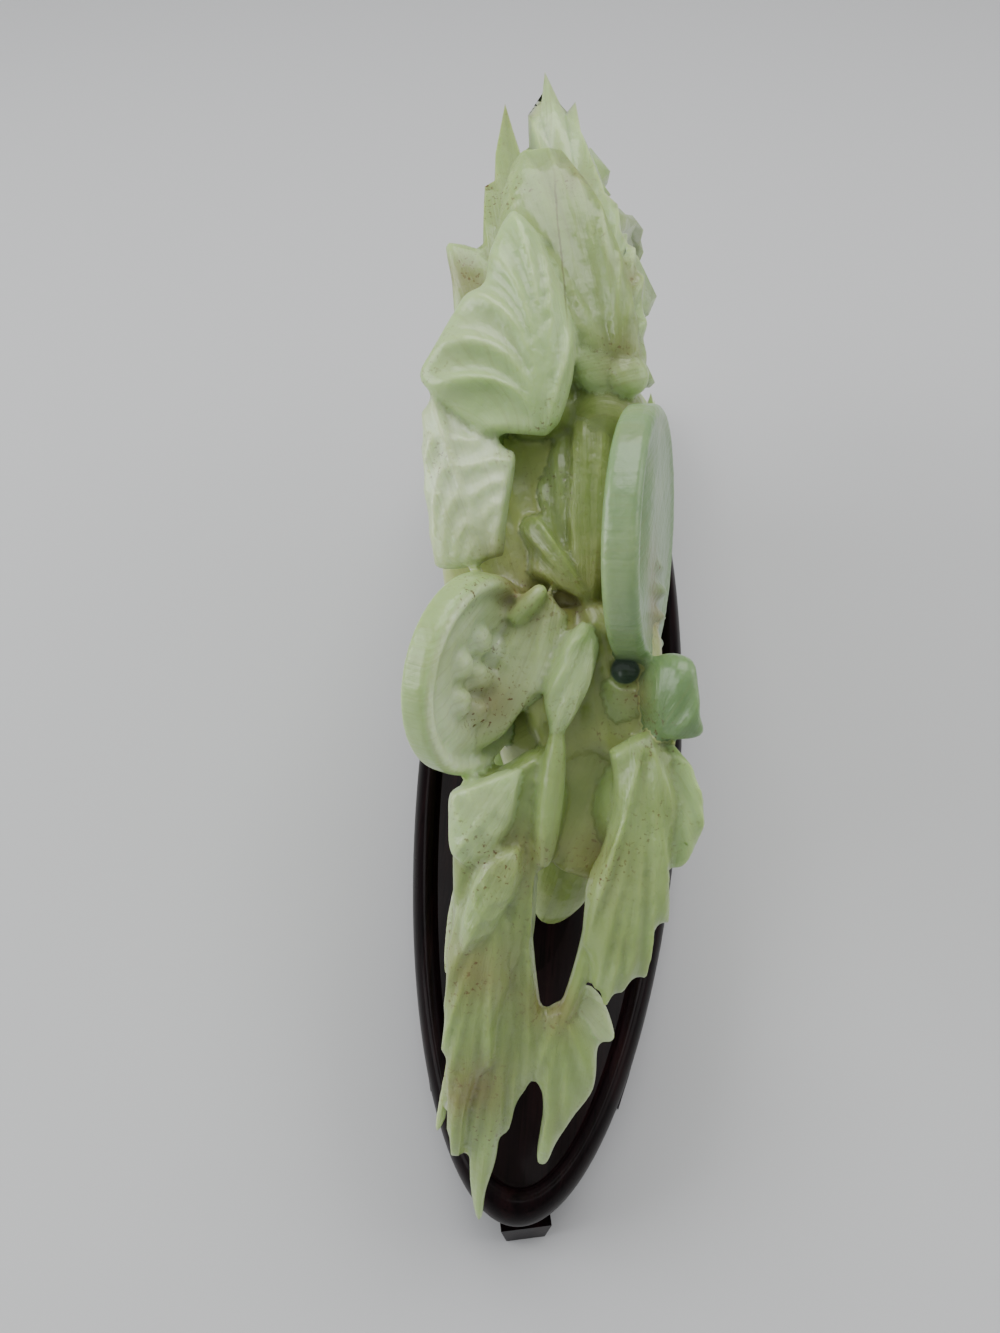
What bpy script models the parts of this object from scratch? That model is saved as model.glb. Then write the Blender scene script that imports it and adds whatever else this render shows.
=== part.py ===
"""A translucent green jade carving of lotus leaves, seed pods, petals and a small bird on its stand.

The carving is one stone. It stands in a shallow socket of a long oval hardwood board, which six small
glued feet lift off the table. Lengths are in metres and +Z is up. The group's long way is Y, with its
lowest hanging leaves at -Y, and the origin is on the table under the middle of the stand.
"""

import math

import bmesh
import bpy
from mathutils import Matrix, Vector

MM = 0.001

# The stand's board
STAND_LENGTH = 300 * MM
STAND_WIDTH = 74.6 * MM
BOARD_THICKNESS = 14 * MM
RIM_WIDTH = 7 * MM
FLOOR_DEPTH = 4 * MM
UNDERSIDE_INSET = 5 * MM
EDGE_CHAMFER_WIDTH = 1.5 * MM
EDGE_CHAMFER_HEIGHT = 2.5 * MM
LIP_WIDTH = 1.5 * MM
LIP_DROP = 0.8 * MM
OVAL_SEGMENTS = 56

# The rim's section: a stretched round, as shares of half a turn from its lowest point to its top
RIM_SWING_START = -0.36
RIM_SWING = 0.86
RIM_STRETCH = 1.6

# The socket in the board's floor, and the play that the carving's foot has in it
FOOT_LENGTH = 156 * MM
FOOT_WIDTH = 22 * MM
SOCKET_END_PLAY = 17 * MM
SOCKET_SIDE_PLAY = 4 * MM
SOCKET_DEPTH = 4 * MM
SEAT_GAP = 0.3 * MM
FOOT_RISE = 9 * MM
FOOT_BOTTOM_SHARE = 0.5
FOOT_TOP_SHARE = 0.46

# The feet under the board
FOOT_HEIGHT = 10 * MM
FOOT_DEPTH = 9 * MM
FOOT_OVERHANG = 0.8 * MM
FOOT_SPLAY = 4 * MM
FOOT_UNDERSIDE_SHARE = 0.5
SIDE_FOOT_LENGTH = 64 * MM
SIDE_FOOT_END_GAP = 31 * MM
END_FOOT_WIDTH = 11 * MM
END_FOOT_TAPER = 0.78
END_FOOT_INSET = 1.5 * MM
NEAR_FOOT_SHIFT = 1.8 * MM
NEAR_FOOT_TURN = math.radians(12)
GLUE_GAP = 0.3 * MM

# The carving, drawn in units of which its height above the stand's floor holds 160.3
CARVING_HEIGHT = 160.3 * MM
DRAWN_HEIGHT = 160.3
UNIT = CARVING_HEIGHT / DRAWN_HEIGHT

FLOOR_Z = FOOT_HEIGHT + BOARD_THICKNESS - FLOOR_DEPTH
SOCKET_Z = FLOOR_Z - SOCKET_DEPTH
RIM_TOP_Z = FOOT_HEIGHT + BOARD_THICKNESS

# The skin that joins the carving's forms: its grain, and the share of its facets that is kept
SKIN_GRAIN = 0.8 * UNIT
FACET_SHARE = 0.0145

JADE_COLOUR = (0.46, 0.60, 0.36, 1.0)
WOOD_COLOUR = (0.030, 0.012, 0.014, 1.0)


def clear_scene():
    for obj in list(bpy.data.objects):
        bpy.data.objects.remove(obj)


def new_collection(name):
    collection = bpy.data.collections.new(name)
    bpy.context.scene.collection.children.link(collection)
    return collection


def finish_material(name, colour, roughness):
    material = bpy.data.materials.new(name)
    material.use_nodes = True
    shader = material.node_tree.nodes["Principled BSDF"]
    shader.inputs["Base Color"].default_value = colour
    shader.inputs["Roughness"].default_value = roughness
    shader.inputs["Metallic"].default_value = 0.0
    return material


def object_from(shape, name, collection):
    """Puts a bmesh into a new object of the collection."""
    mesh = bpy.data.meshes.new(name)
    shape.to_mesh(mesh)
    shape.free()
    obj = bpy.data.objects.new(name, mesh)
    collection.objects.link(obj)
    return obj


def as_helper(obj):
    obj.hide_render = True
    obj.display_type = "WIRE"
    return obj


# The carving's forms


def spot(x, y, z):
    """A point of the carving's drawing, in its own units, as a place in the scene."""
    return Vector((x * UNIT, y * UNIT, FLOOR_Z + z * UNIT))


def bezier(root, bend, tip, u):
    return root * (1 - u) ** 2 + bend * 2 * u * (1 - u) + tip * u**2


def bezier_slope(root, bend, tip, u):
    return ((bend - root) * (1 - u) + (tip - bend) * u).normalized()


def sawtooth(x):
    return x - math.floor(x)


def blade(name, root, bend, tip, faces, width, thick=3.0, belly=0.5, blunt=0.75, cup=0.0,
          teeth=0, bite=0.25, along=8, around=6):
    """A leaf, petal, stem or lump: a lens-shaped section carried along a curve from root to tip.

    width and thick are the section's full sizes at the belly, a share of the way along. The section
    shrinks to nothing at both ends by a sine raised to blunt, and its edges rise towards the side that
    the leaf faces by cup times the half width. Teeth cut the edges back by the share bite."""
    ends = [spot(*p) for p in (root, bend, tip)]
    forward = Vector(faces).normalized()
    warp = math.log(0.5) / math.log(belly)
    shape = bmesh.new()
    bmesh.ops.create_uvsphere(shape, u_segments=around, v_segments=along, radius=1.0)
    for vertex in shape.verts:
        x, y, z = vertex.co
        u = math.acos(max(-1.0, min(1.0, z))) / math.pi
        ring = math.hypot(x, y)
        turn = math.atan2(y, x) if ring > 1e-6 else 0.0
        swell = math.sin(math.pi * u**warp) ** blunt if ring > 1e-6 else 0.0
        slope = bezier_slope(*ends, u)
        normal = (forward - slope * forward.dot(slope)).normalized()
        side = slope.cross(normal)
        half = swell * width / 2 * (1 - bite * sawtooth(teeth * u) if teeth else 1.0)
        across = half * math.cos(turn)
        rise = swell * thick / 2 * math.sin(turn) + cup * across * across / (width / 2)
        vertex.co = bezier(*ends, u) + (side * across + normal * rise) * UNIT
    bmesh.ops.recalc_face_normals(shape, faces=shape.faces)
    return as_helper(object_from(shape, name, forms))


def lump(name, middle, size, along=6, around=8):
    """A rounded mass, with its three full sizes across, along and up."""
    shape = bmesh.new()
    bmesh.ops.create_uvsphere(shape, u_segments=around, v_segments=along, radius=0.5)
    for vertex in shape.verts:
        x, y, z = vertex.co
        vertex.co = spot(middle[0] + x * size[0], middle[1] + y * size[1], middle[2] + z * size[2])
    return as_helper(object_from(shape, name, forms))


def dish(name, middle, faces, radius, thick, stretch=1.0, dip=0.0, bowl=0.0, waves=0, wave=0.0,
         around=16, along=6, square=0.5):
    """A round leaf or seed pod: a sphere squashed to a disc with square shoulders.

    Only its face is sunk by dip at the middle, and both its faces by bowl. Its outline is stretched
    along its upper way, and its rim swings out and in by wave, waves times round."""
    normal = Vector(faces).normalized()
    upper = (Vector((0, 0, 1)) - normal * normal.z).normalized()
    side = upper.cross(normal)
    shape = bmesh.new()
    bmesh.ops.create_uvsphere(shape, u_segments=around, v_segments=along, radius=1.0)
    for vertex in shape.verts:
        x, y, z = vertex.co
        ring = math.hypot(x, y)
        turn = math.atan2(y, x)
        reach = radius * ring**square if ring > 1e-6 else 0.0
        height = thick / 2 * math.copysign(abs(z) ** square, z) - bowl * (1 - ring)
        height += wave * math.cos(waves * turn) * ring**2 - dip * (1 - ring) * (z > 0)
        across = reach * math.cos(turn)
        upward = reach * math.sin(turn) * stretch
        vertex.co = spot(*middle) + (side * across + upper * upward + normal * height) * UNIT
    bmesh.ops.recalc_face_normals(shape, faces=shape.faces)
    return as_helper(object_from(shape, name, forms))


def smooth_curve(points, steps):
    """A smooth curve through the points, with steps pieces between each two."""
    curve = []
    for k in range(len(points) - 1):
        start, stop = points[k], points[k + 1]
        before, after = points[max(k - 1, 0)], points[min(k + 2, len(points) - 1)]
        for i in range(steps):
            f = i / steps
            second = 2 * before - 5 * start + 4 * stop - after
            third = 3 * start - before - 3 * stop + after
            curve.append((start * 2 + (stop - before) * f + second * f**2 + third * f**3) * 0.5)
    return curve + [points[-1]]


# The low end's slope, from the crown down to the hanging tips, as places along and up in drawing units
LOW_END_SLOPE = ((40, 168), (7, 163), (-30, 152), (-70, 125), (-93, 108), (-113, 85), (-135, 52),
                 (-153, 20), (-160, 5))
INWARDS = Vector((0, 0.64, -0.77))


def on_slope(across, down, sink):
    """A point of the slope laid flat: its place across, its way down the slope, and how far into the stone."""
    for (y, z), (next_y, next_z) in zip(LOW_END_SLOPE, LOW_END_SLOPE[1:]):
        stretch = math.dist((y, z), (next_y, next_z))
        if down <= stretch:
            break
        down -= stretch
    share = down / stretch
    return Vector((across, y + (next_y - y) * share, z + (next_z - z) * share)) + INWARDS * sink


def fan(name, sink, base, rim, faces, thick, bulge=2.0, bow=(0, 0, 0), bite=0.0, rows=8, steps=2):
    """A leaf that spreads like a fan: lines run from its base to a smooth rim, both drawn on the slope.

    The sheet swells by bulge towards the side that it faces, its lines are bent by bow, and it thins to
    nothing at its edges. Between the rim's points, which are its teeth, the rim is bitten back by bite."""
    forward = Vector(faces).normalized()
    start = on_slope(*base, sink)
    curve = smooth_curve([on_slope(*p, sink) for p in rim], steps)
    columns = len(curve) - 1
    shape = bmesh.new()
    front, back = [], []
    for i in range(rows + 1):
        s = i / rows
        front.append([])
        back.append([])
        for j in range(columns + 1):
            a = j / columns
            reach = s * (1 - bite * math.sin(math.pi * (j % steps) / steps) * s**4)
            place = start + (curve[j] - start) * reach + Vector(bow) * (4 * s * (1 - s) * a * (1 - a**8))
            place += forward * bulge * math.sin(math.pi * s * 0.8) * max(0.0, math.sin(math.pi * a)) ** 0.6
            half = thick / 2 * math.sqrt((1 - abs(2 * a - 1) ** 10) * (1 - s**12) * min(1, s * 5))
            front[i].append(shape.verts.new(spot(*(place + forward * half))))
            back[i].append(shape.verts.new(spot(*(place - forward * half))))
    for i in range(rows):
        for j in range(columns):
            shape.faces.new((front[i][j], front[i + 1][j], front[i + 1][j + 1], front[i][j + 1]))
            shape.faces.new((back[i][j + 1], back[i + 1][j + 1], back[i + 1][j], back[i][j]))
    bmesh.ops.remove_doubles(shape, verts=shape.verts, dist=0.001 * UNIT)
    bmesh.ops.recalc_face_normals(shape, faces=shape.faces)
    return as_helper(object_from(shape, name, forms))


# The carving, part by part


def skyline(y):
    """The height above the stand's floor that the stone's heart reaches at a place along it."""
    return 132 - 0.0055 * y * y


def rocks_and_trunks():
    """The stone left along the middle: low rocks, trunks that rise from them, and the mass they carry."""
    for i in range(7):
        y = -60 + 20 * i
        height = 27 + 8 * math.sin(2.3 * i)
        lump(f"rock_{i}", (3 * math.sin(2.1 * i), y, height / 2 - 2.5), (27, 34, height))
    for i in range(6):
        y = -60 + 28 * i
        top = skyline(y)
        low = 50 + 9 * math.sin(1.9 * i)
        middle = (-2 + 2.5 * math.sin(1.9 * i), y, (top + low) / 2)
        lump(f"heart_{i}", middle, (20, 52, top - low), around=12)
    for i in range(8):
        y = -64 + 20 * i
        lean = 6 * math.sin(2.4 * i)
        blade(f"trunk_{i}", (lean, y - 4, 8), (-lean, y + 3, 40), (lean / 2, y + lean, 84),
              (1, 0, 0), 12 + 3 * math.sin(3 * i), 11, blunt=0.35, along=6)


def crown_leaves():
    """The tall leaves at the top: a ribbed one with a bitten edge behind a smooth one, and two spikes."""
    blade("crown_stone", (-2, -44, 130), (-3, -24, 149), (-11, -4, 153), (0, -0.5, 0.85), 17, 8,
          belly=0.45, blunt=0.5)
    lump("crown_bank", (-5, -10, 128), (13, 60, 42), around=10)
    lump("crown_left", (-12, -16, 148), (9, 22, 12))
    fan("ribbed_leaf", 3, (4.5, 94.5),
        [(11.5, 94.5), (12, 87.5), (11, 79), (9, 74), (5.5, 64.5), (2.5, 57.5), (-0.5, 49.5),
         (-3.5, 39.5), (-10, 31.5), (-12, 43), (-12, 55)],
        (0.1, -0.5, 0.85), 3.2, bulge=1.0, bite=0.11)
    fan("smooth_leaf", 1, (6, 95),
        [(11, 94), (9, 84.5), (6, 76), (2, 66.5), (-3, 58), (-8, 54), (-12.5, 56.5), (-14, 67),
         (-14, 78.5), (-13, 89)],
        (0.1, -0.5, 0.85), 4.5, bulge=2.4)
    fan("left_spike", 2.5, (-9.5, 87),
        [(-13, 91), (-16.5, 77), (-17.5, 63), (-16, 62.5), (-16.5, 55), (-16, 42), (-13, 50),
         (-11.5, 57), (-10, 71)],
        (-0.2, -0.5, 0.85), 4.5, bulge=1.0)
    fan("left_bract", 3, (-14.5, 87.5),
        [(-20.5, 90.5), (-21.5, 82.5), (-23, 76), (-20.5, 75.5), (-18.5, 76), (-16, 77), (-13.5, 79),
         (-11.5, 83.5)],
        (-0.2, -0.5, 0.85), 5.5, bulge=1.0)


def folded_leaf():
    """The hood-shaped lotus leaf, with a bud on its right and the veined leaf that hangs below it."""
    lump("hood_stone", (-13, -39, 133), (16, 20, 15))
    lump("hood_back", (-6, -32, 138), (16, 18, 16))
    fan("folded_leaf", -2, (-3.5, 109),
        [(-1.5, 106.5), (0, 99.5), (0, 92.5), (-2.5, 85), (-5.5, 78.5), (-8, 74), (-11.5, 71),
         (-13.5, 74), (-15, 79), (-15.5, 84), (-18.5, 86.5), (-21, 91), (-23, 95.5), (-25, 100),
         (-23, 103), (-18.5, 106), (-14, 109)],
        (-0.15, -0.65, 0.75), 5, bulge=2.5, bow=(4.5, 6, 5))
    blade("hood_neck", (-4, -56, 128), (-7, -48, 134), (-6, -36, 126), (0, -0.6, 0.8), 15, 12, blunt=0.4)
    dish("round_bud", (5.8, -46.5, 138), (0.2, -0.6, 0.75), 6.6, 5, square=0.8, around=12)
    dish("bud_scroll", (9.5, -50, 137), (0.3, -0.6, 0.7), 3.4, 4, square=0.9, around=8)
    lump("bud_stone", (6, -49, 128), (14, 16, 15))
    fan("veined_leaf", 0, (-11, 129.5),
        [(-9, 129), (-9, 122), (-8.5, 116.5), (-8.5, 111.5), (-11.5, 109.5), (-15, 108), (-19, 105.5),
         (-23, 102.5), (-24.5, 105.5), (-24, 112), (-23, 119), (-21.5, 126.5), (-20, 131.5),
         (-15.5, 131.5)],
        (-0.15, -0.65, 0.75), 4, bulge=1.2, bite=0.04)
    lump("left_column", (-16.5, -56, 114), (11, 18, 32))
    blade("hood_stalk", (-8, -74, 98), (-15, -64, 112), (-14, -50, 130), (-1, 0, 0), 12, 9, blunt=0.35)


def pods():
    """The seed pod on the left, whose face looks in, and the large flat one on the right."""
    dish("left_pod", (-13, -92, 107), (0.89, -0.4, 0.24), 16.5, 5.6, stretch=1.04, dip=1.4, square=0.4)
    lump("pod_back", (-16, -85, 96), (7, 20, 20))
    dish("right_pod", (13, -71, 121), (0.96, -0.13, 0.17), 21, 6, dip=0.8, square=0.4)
    lump("right_pod_back", (10, -66, 110), (9, 22, 26))
    blade("pod_stalk", (-14, -84, 92), (-6, -74, 92), (4, -62, 92), (0, -1, 0), 10, 9, blunt=0.3, along=6)


def inner_leaves():
    """Between the pods: the stone behind the hollow, small leaves, a petal, a twig and a panel."""
    fan("upper_wall", 11, (-1, 136.5),
        [(-19.5, 135.5), (-21, 127), (-23, 110.5), (-22, 103), (-13.5, 105.5), (-4, 106.5),
         (5.5, 100.5), (13.5, 106.5), (16, 121.5), (16, 134.5)],
        (0, -0.65, 0.75), 9, bulge=0.5)
    fan("middle_wall", 7.5, (3, 136),
        [(16, 134), (18.5, 144), (19, 157), (16, 166), (9, 161.5), (2, 164.5), (-1, 160.5), (-4, 155),
         (-6, 146), (-7, 138)],
        (0.05, -0.65, 0.75), 9, bulge=0.5)
    lump("hollow_stone", (-2, -48, 108), (26, 18, 28))
    lump("hollow_floor", (3, -78, 99), (20, 20, 18))
    fan("hollow_streaks", 7, (6, 138),
        [(2, 132), (1.5, 119), (1, 107), (1.5, 101.5), (4.5, 100), (7.5, 101), (8.5, 113.5),
         (8.5, 130)],
        (-0.2, -0.65, 0.75), 7, bulge=0.6)
    fan("inner_leaf_high", 8.5, (2, 131),
        [(-2.5, 121), (-4.5, 117), (-4, 112.5), (-2, 107.5), (1, 104.5), (1, 110.5), (0.5, 119)],
        (-0.1, -0.65, 0.75), 5.5, bulge=1.2)
    fan("inner_leaf_low", 6.5, (6.5, 136),
        [(1, 133.5), (-4.5, 131), (-5, 127.5), (-7, 123), (-5, 121), (-3.5, 122), (0, 126.5),
         (3.5, 132)],
        (0, -0.65, 0.75), 5.5, bulge=1.6)
    blade("twig", (-7, -85, 112.5), (-4.3, -82.5, 115), (-2, -80, 116.5), (0, -0.65, 0.75), 3.4, 3.4,
          blunt=0.25, along=6)
    fan("hanging_petal", 1.5, (6, 139.5),
        [(4.5, 138.5), (2, 141.5), (0, 146.5), (-1, 151.5), (0, 156), (1, 158.5), (3, 156.5),
         (5, 152.5), (6.5, 148), (7.5, 142.5)],
        (0.1, -0.65, 0.75), 5, bulge=2.4)
    fan("back_panel", 3.5, (-1.5, 134),
        [(-7, 137), (-8, 142.5), (-10, 151), (-15, 160.5), (-16.5, 165), (-12.5, 162.5), (-7.5, 159),
         (-4.5, 154.5), (-1, 149.5), (0.5, 144), (2, 138)],
        (0, -0.65, 0.75), 3.4, bulge=1.0)


def bird():
    """The small bird on the right side: its head, its grooved wing, and a bent leaf beside it."""
    lump("bird_back", (13, -86, 99), (14, 18, 18))
    fan("bird_head", 0, (17, 157),
        [(15, 150), (15.5, 145), (17.5, 143), (21, 143.5), (22, 147.5), (22.5, 151.5), (24, 155),
         (22, 156.5)],
        (0.35, -0.6, 0.7), 7, bulge=3.0)
    fan("bird_wing", 0, (15.5, 156),
        [(10, 159.5), (11.5, 168), (10.5, 176.5), (8, 184), (8, 193.5), (10.5, 202), (12.5, 205.5),
         (15, 202.5), (19, 199), (19.5, 190.5), (22, 188.5), (21, 179), (21, 167), (20, 159)],
        (0.25, -0.78, 0.55), 5, bulge=3.0, bite=0.05)
    lump("wing_stone", (14, -101, 84), (12, 18, 24))
    fan("bird_leaf", 1.5, (19, 158.5),
        [(19.5, 157), (22, 160), (24, 164.5), (25, 169), (24.5, 173.5), (22, 178.5), (20.5, 175.5),
         (19.5, 167.5)],
        (0.5, -0.7, 0.5), 5, bulge=2.6)


def hollow_end():
    """The smooth hollow above the open arch, the strands that frame the arch, and the leaf inside it."""
    lump("arch_roof", (3, -88, 86), (24, 24, 26))
    fan("cave_wall", 5, (3, 181),
        [(-1, 169), (0, 159.5), (4.5, 155.5), (9.5, 155), (14, 158.5), (16, 166), (15.5, 176),
         (11.5, 184)],
        (0, -0.75, 0.65), 6, bulge=-2.5)
    fan("left_body", 3.5, (1, 160),
        [(-3, 161), (-7.5, 164.5), (-14, 168.5), (-14.5, 177), (-14, 188), (-13.5, 199.5),
         (-10, 207.5), (-5, 207), (-0.5, 198.5), (0, 190.5), (-0.5, 183), (2.5, 179), (4, 168.5)],
        (-0.1, -0.78, 0.6), 7, bulge=1.5)
    blade("middle_stem", (1.8, -98, 103), (1.3, -106.5, 94), (1, -114, 84), (0, -0.8, 0.5), 4.5, 6,
          blunt=0.35, along=6)
    for name, top, bend in (("arch_left", (-2.5, -110, 84), (-2, -124, 66)),
                            ("arch_right", (10, -113, 80), (10.5, -125, 66))):
        blade(name, top, bend, (3.5, -133, 53), (0, -0.85, 0.5), 3, 5, blunt=0.3)
    blade("arch_leaf", (6, -84, 84), (8, -104, 74), (2, -108, 52), (0, -0.9, 0.4), 14, 5, blunt=0.5)
    lump("arch_sill", (3, -66, 40), (22, 24, 62))


def hanging_leaves():
    """The long leaves that hang over the stand's near end, laid over each other like feathers."""
    fan("outer_frond", 5, (-12.5, 181),
        [(-14, 186), (-15, 194), (-15, 203.5), (-13.5, 202.5), (-13, 193.5)],
        (-0.3, -0.85, 0.4), 2.8, bulge=0.5)
    fan("clear_tip", 3, (-13, 214.5),
        [(-14, 223.5), (-15.5, 237.5), (-14, 235.5), (-13.5, 230.5), (-12.5, 222)],
        (-0.3, -0.85, 0.4), 2.8, bulge=0.5)
    fan("third_frond", 2, (-2, 186),
        [(-3, 202.5), (-3, 219), (-3.5, 235), (-2, 235), (-1, 229), (1.5, 222), (1.5, 212), (0, 198.5),
         (-0.5, 189.5)],
        (0.1, -0.9, 0.4), 3.8, bulge=1.0)
    fan("longest_frond", 1, (-4, 201.5),
        [(-6.5, 215), (-9, 226.5), (-9, 238), (-8.5, 248.5), (-7, 256.5), (-6, 256.5), (-5.5, 249.5),
         (-4, 242), (-3.5, 234), (-3, 224.5), (-2, 208.5)],
        (0, -0.9, 0.4), 3.8, bulge=1.2)
    fan("broad_frond", 0, (-6.5, 185.5),
        [(-13.5, 189), (-14.5, 198), (-14.5, 208), (-14.5, 217), (-13.5, 222.5), (-13, 235),
         (-12, 241.5), (-10.5, 242), (-10, 237.5), (-9, 227), (-5.5, 219.5), (-5, 212), (-3.5, 203.5),
         (-3, 192.5)],
        (-0.15, -0.9, 0.4), 4.5, bulge=2.0, bite=0.05)
    fan("second_leaf", -1, (-3, 177),
        [(-7, 177.5), (-10, 182.5), (-11.5, 189), (-12, 194.5), (-11, 197), (-7.5, 193), (-5, 188.5),
         (-3.5, 185.5), (-2.5, 181.5)],
        (-0.15, -0.8, 0.6), 4.2, bulge=1.8)
    fan("short_leaf", -0.5, (-3.5, 163.5),
        [(-7.5, 164.5), (-12, 167), (-15, 168.5), (-15, 173.5), (-14.5, 178), (-13, 180), (-11, 180.5),
         (-8, 178.5), (-6, 175.5), (-4.5, 172), (-4, 167.5)],
        (-0.15, -0.75, 0.65), 4.2, bulge=1.8)
    fan("lower_tip", 3, (7.5, 205.5),
        [(7.5, 211.5), (10, 218), (12.5, 220.5), (13, 214), (15.5, 213), (15, 210), (13, 205.5),
         (10.5, 203)],
        (0.2, -0.9, 0.4), 3.2, bulge=0.8)
    fan("lower_leaf", 1.5, (5.5, 206.5),
        [(3, 208.5), (2, 214), (2, 221.5), (3.5, 225), (4, 231.5), (3.5, 240.5), (5, 241.5),
         (6.5, 237), (9, 230.5), (12.5, 223.5), (12.5, 215), (10, 209)],
        (0.1, -0.9, 0.4), 4, bulge=1.5)


def broad_sides():
    """The two broad sides, plainer than the near end: round leaves, pods, buds and long stems."""
    for name, middle, faces, radius, thick, bowl in (
        ("leaf_right_near", (13, -22, 92), (0.97, -0.05, 0.15), 24, 5, 3),
        ("leaf_right_high", (8.5, 22, 99), (0.95, 0.1, 0.2), 18, 5, 3),
        ("leaf_right_far", (13, 66, 78), (0.95, 0.2, 0.2), 21, 5, 3),
        ("leaf_right_low", (9, -44, 42), (0.93, -0.1, 0.3), 15, 5, 2.5),
        ("leaf_right_foot", (9, 56, 38), (0.93, 0.1, 0.3), 14, 5, 2.5),
        ("leaf_left_middle", (-16.5, 0, 98), (-0.93, -0.05, 0.35), 29, 5, 3.5),
        ("leaf_left_low", (-9, -4, 42), (-0.93, -0.1, 0.3), 15, 5, 2.5),
        ("leaf_left_foot", (-9, 76, 40), (-0.93, 0.1, 0.3), 13, 5, 2.5),
        ("leaf_left_far", (-14, 54, 84), (-0.95, 0.15, 0.25), 24, 5, 3),
        ("leaf_top", (-9, 38, 120), (-0.5, 0.2, 0.85), 14, 5, 2.5),
    ):
        dish(name, middle, faces, radius, thick, bowl=bowl, waves=5, wave=1.8, around=24)
    for name, middle, faces, radius in (
        ("seed_pod_left", (-13, -34, 108), (-0.85, 0, 0.5), 13),
        ("seed_pod_right", (6, 2, 124), (0.7, 0, 0.7), 10),
        ("seed_pod_far", (-6, 82, 104), (-0.7, 0.3, 0.65), 12),
    ):
        dish(name, middle, faces, radius, 12, dip=2.5)
    for i in range(10):
        side = 1 if i % 2 else -1
        y = -62 + 15 * i
        blade(f"side_stem_{i}", (side * 6, y, 4), (side * 15, y + 9, 44), (side * 7, y - 6, 90),
              (side, 0, 0), 5, 5, blunt=0.3)
    for i in range(6):
        side = 1 if i % 2 else -1
        y = -56 + 24 * i
        blade(f"bud_{i}", (side * 5, y, 26), (side * 17, y - 2, 42), (side * 13, y + 4, 54),
              (side, 0, 0.2), 11, 9, belly=0.4, along=7, around=8)
    for i in range(10):
        side = 1 if i % 2 else -1
        y = -70 + 16 * i
        blade(f"side_leaf_{i}", (side * 5, y - 8, 8), (side * 18, y - 2, 26), (side * 21, y + 14, 18),
              (side * 0.8, 0.3, 0.5), 14, 3.4, blunt=0.6)


def flower(name, middle, side, petals, size):
    """An open lotus flower on a broad side: a fan of petals round a small pod."""
    heart = Vector(middle)
    outward = Vector((side, 0, 0))
    for i in range(petals):
        turn = math.tau * i / petals
        reach = Vector((side * 0.3, math.cos(turn), math.sin(turn)))
        blade(f"{name}_petal_{i}", heart + reach * size * 0.1, heart + (reach * 0.6 + outward * 0.3) * size,
              heart + (reach + outward * 0.05) * size, (side, 0, 0.1), size * 0.62, 3.4,
              belly=0.55, cup=0.2, along=7)
    dish(f"{name}_heart", heart + outward * 3, (side, 0, 0.2), size * 0.3, 7, around=10)
    blade(f"{name}_stalk", heart - outward * 12, heart - outward * 6, heart + outward * 3, (0, 0, 1),
          size * 0.5, size * 0.5, blunt=0.3, along=6)


def far_end():
    """The far end, in keeping with the near one: leaves that hang from the shoulder, and a crest."""
    lump("far_shoulder", (-2, 84, 70), (24, 40, 58), around=10)
    for x in (-7, 5):
        blade(f"far_body_{x}", (x * 0.5, 80, 92), (x, 112, 90), (x, 130, 52), (0, 0.8, 0.5), 17, 10,
              blunt=0.45)
    for i in range(9):
        x = -15 + 3.6 * i
        drop = 20 + 24 * abs(math.sin(1.9 * i + 0.6))
        reach = 153.5 - 0.75 * (drop - 20)
        blade(f"far_frond_{i}", (x * 0.5, 92, 88), (x * 1.2, reach - 8, 78), (x, reach, drop),
              (x * 0.02, 0.85, 0.5), 10.5, 4, belly=0.5, teeth=5, bite=0.25, along=11)
    for i in range(5):
        side = 1 if i % 2 else -1
        y = 10 + 19 * i
        top = skyline(y)
        blade(f"far_crest_{i}", (side * 2 - 5, y - 20, top - 14), (side * 4 - 5, y + 2, top + 12),
              (side * 3 - 5, y + 17, top - 8), (side * 0.4, 0.2, 1), 13, 5, teeth=4, bite=0.2, along=10)


def carve(collection):
    """Joins every form to the carving's foot, as one stone."""
    rocks_and_trunks()
    crown_leaves()
    folded_leaf()
    pods()
    inner_leaves()
    bird()
    hollow_end()
    hanging_leaves()
    broad_sides()
    flower("right_flower", (12, 16, 62), 1, 9, 21)
    flower("left_flower", (-12, -44, 66), -1, 9, 21)
    flower("left_low_flower", (-11, 34, 44), -1, 8, 16)
    far_end()

    stone = bmesh.new()
    for form in forms.objects:
        stone.from_mesh(form.data)
    carving = object_from(stone, "jade_carving", collection)
    carving.data.materials.append(finish_material("green jade", JADE_COLOUR, 0.28))

    skin = carving.modifiers.new("one skin over all the forms", "REMESH")
    skin.mode = "VOXEL"
    skin.voxel_size = SKIN_GRAIN

    fewer = carving.modifiers.new("fewer facets", "DECIMATE")
    fewer.ratio = FACET_SHARE

    union = carving.modifiers.new("foot", "BOOLEAN")
    union.operation = "UNION"
    union.object = carving_foot()
    return carving


def carving_foot():
    """The flat-bottomed oval foot that stands in the stand's socket."""
    low = SOCKET_Z + SEAT_GAP
    high = FLOOR_Z + FOOT_RISE
    shape = bmesh.new()
    bmesh.ops.create_cone(shape, cap_ends=True, segments=32, radius1=FOOT_BOTTOM_SHARE,
                          radius2=FOOT_TOP_SHARE, depth=1.0)
    bmesh.ops.scale(shape, vec=(FOOT_WIDTH, FOOT_LENGTH, high - low), verts=shape.verts)
    bmesh.ops.translate(shape, vec=(0, 0, (high + low) / 2), verts=shape.verts)
    return as_helper(object_from(shape, "carving_foot", helpers))


# The stand


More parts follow.
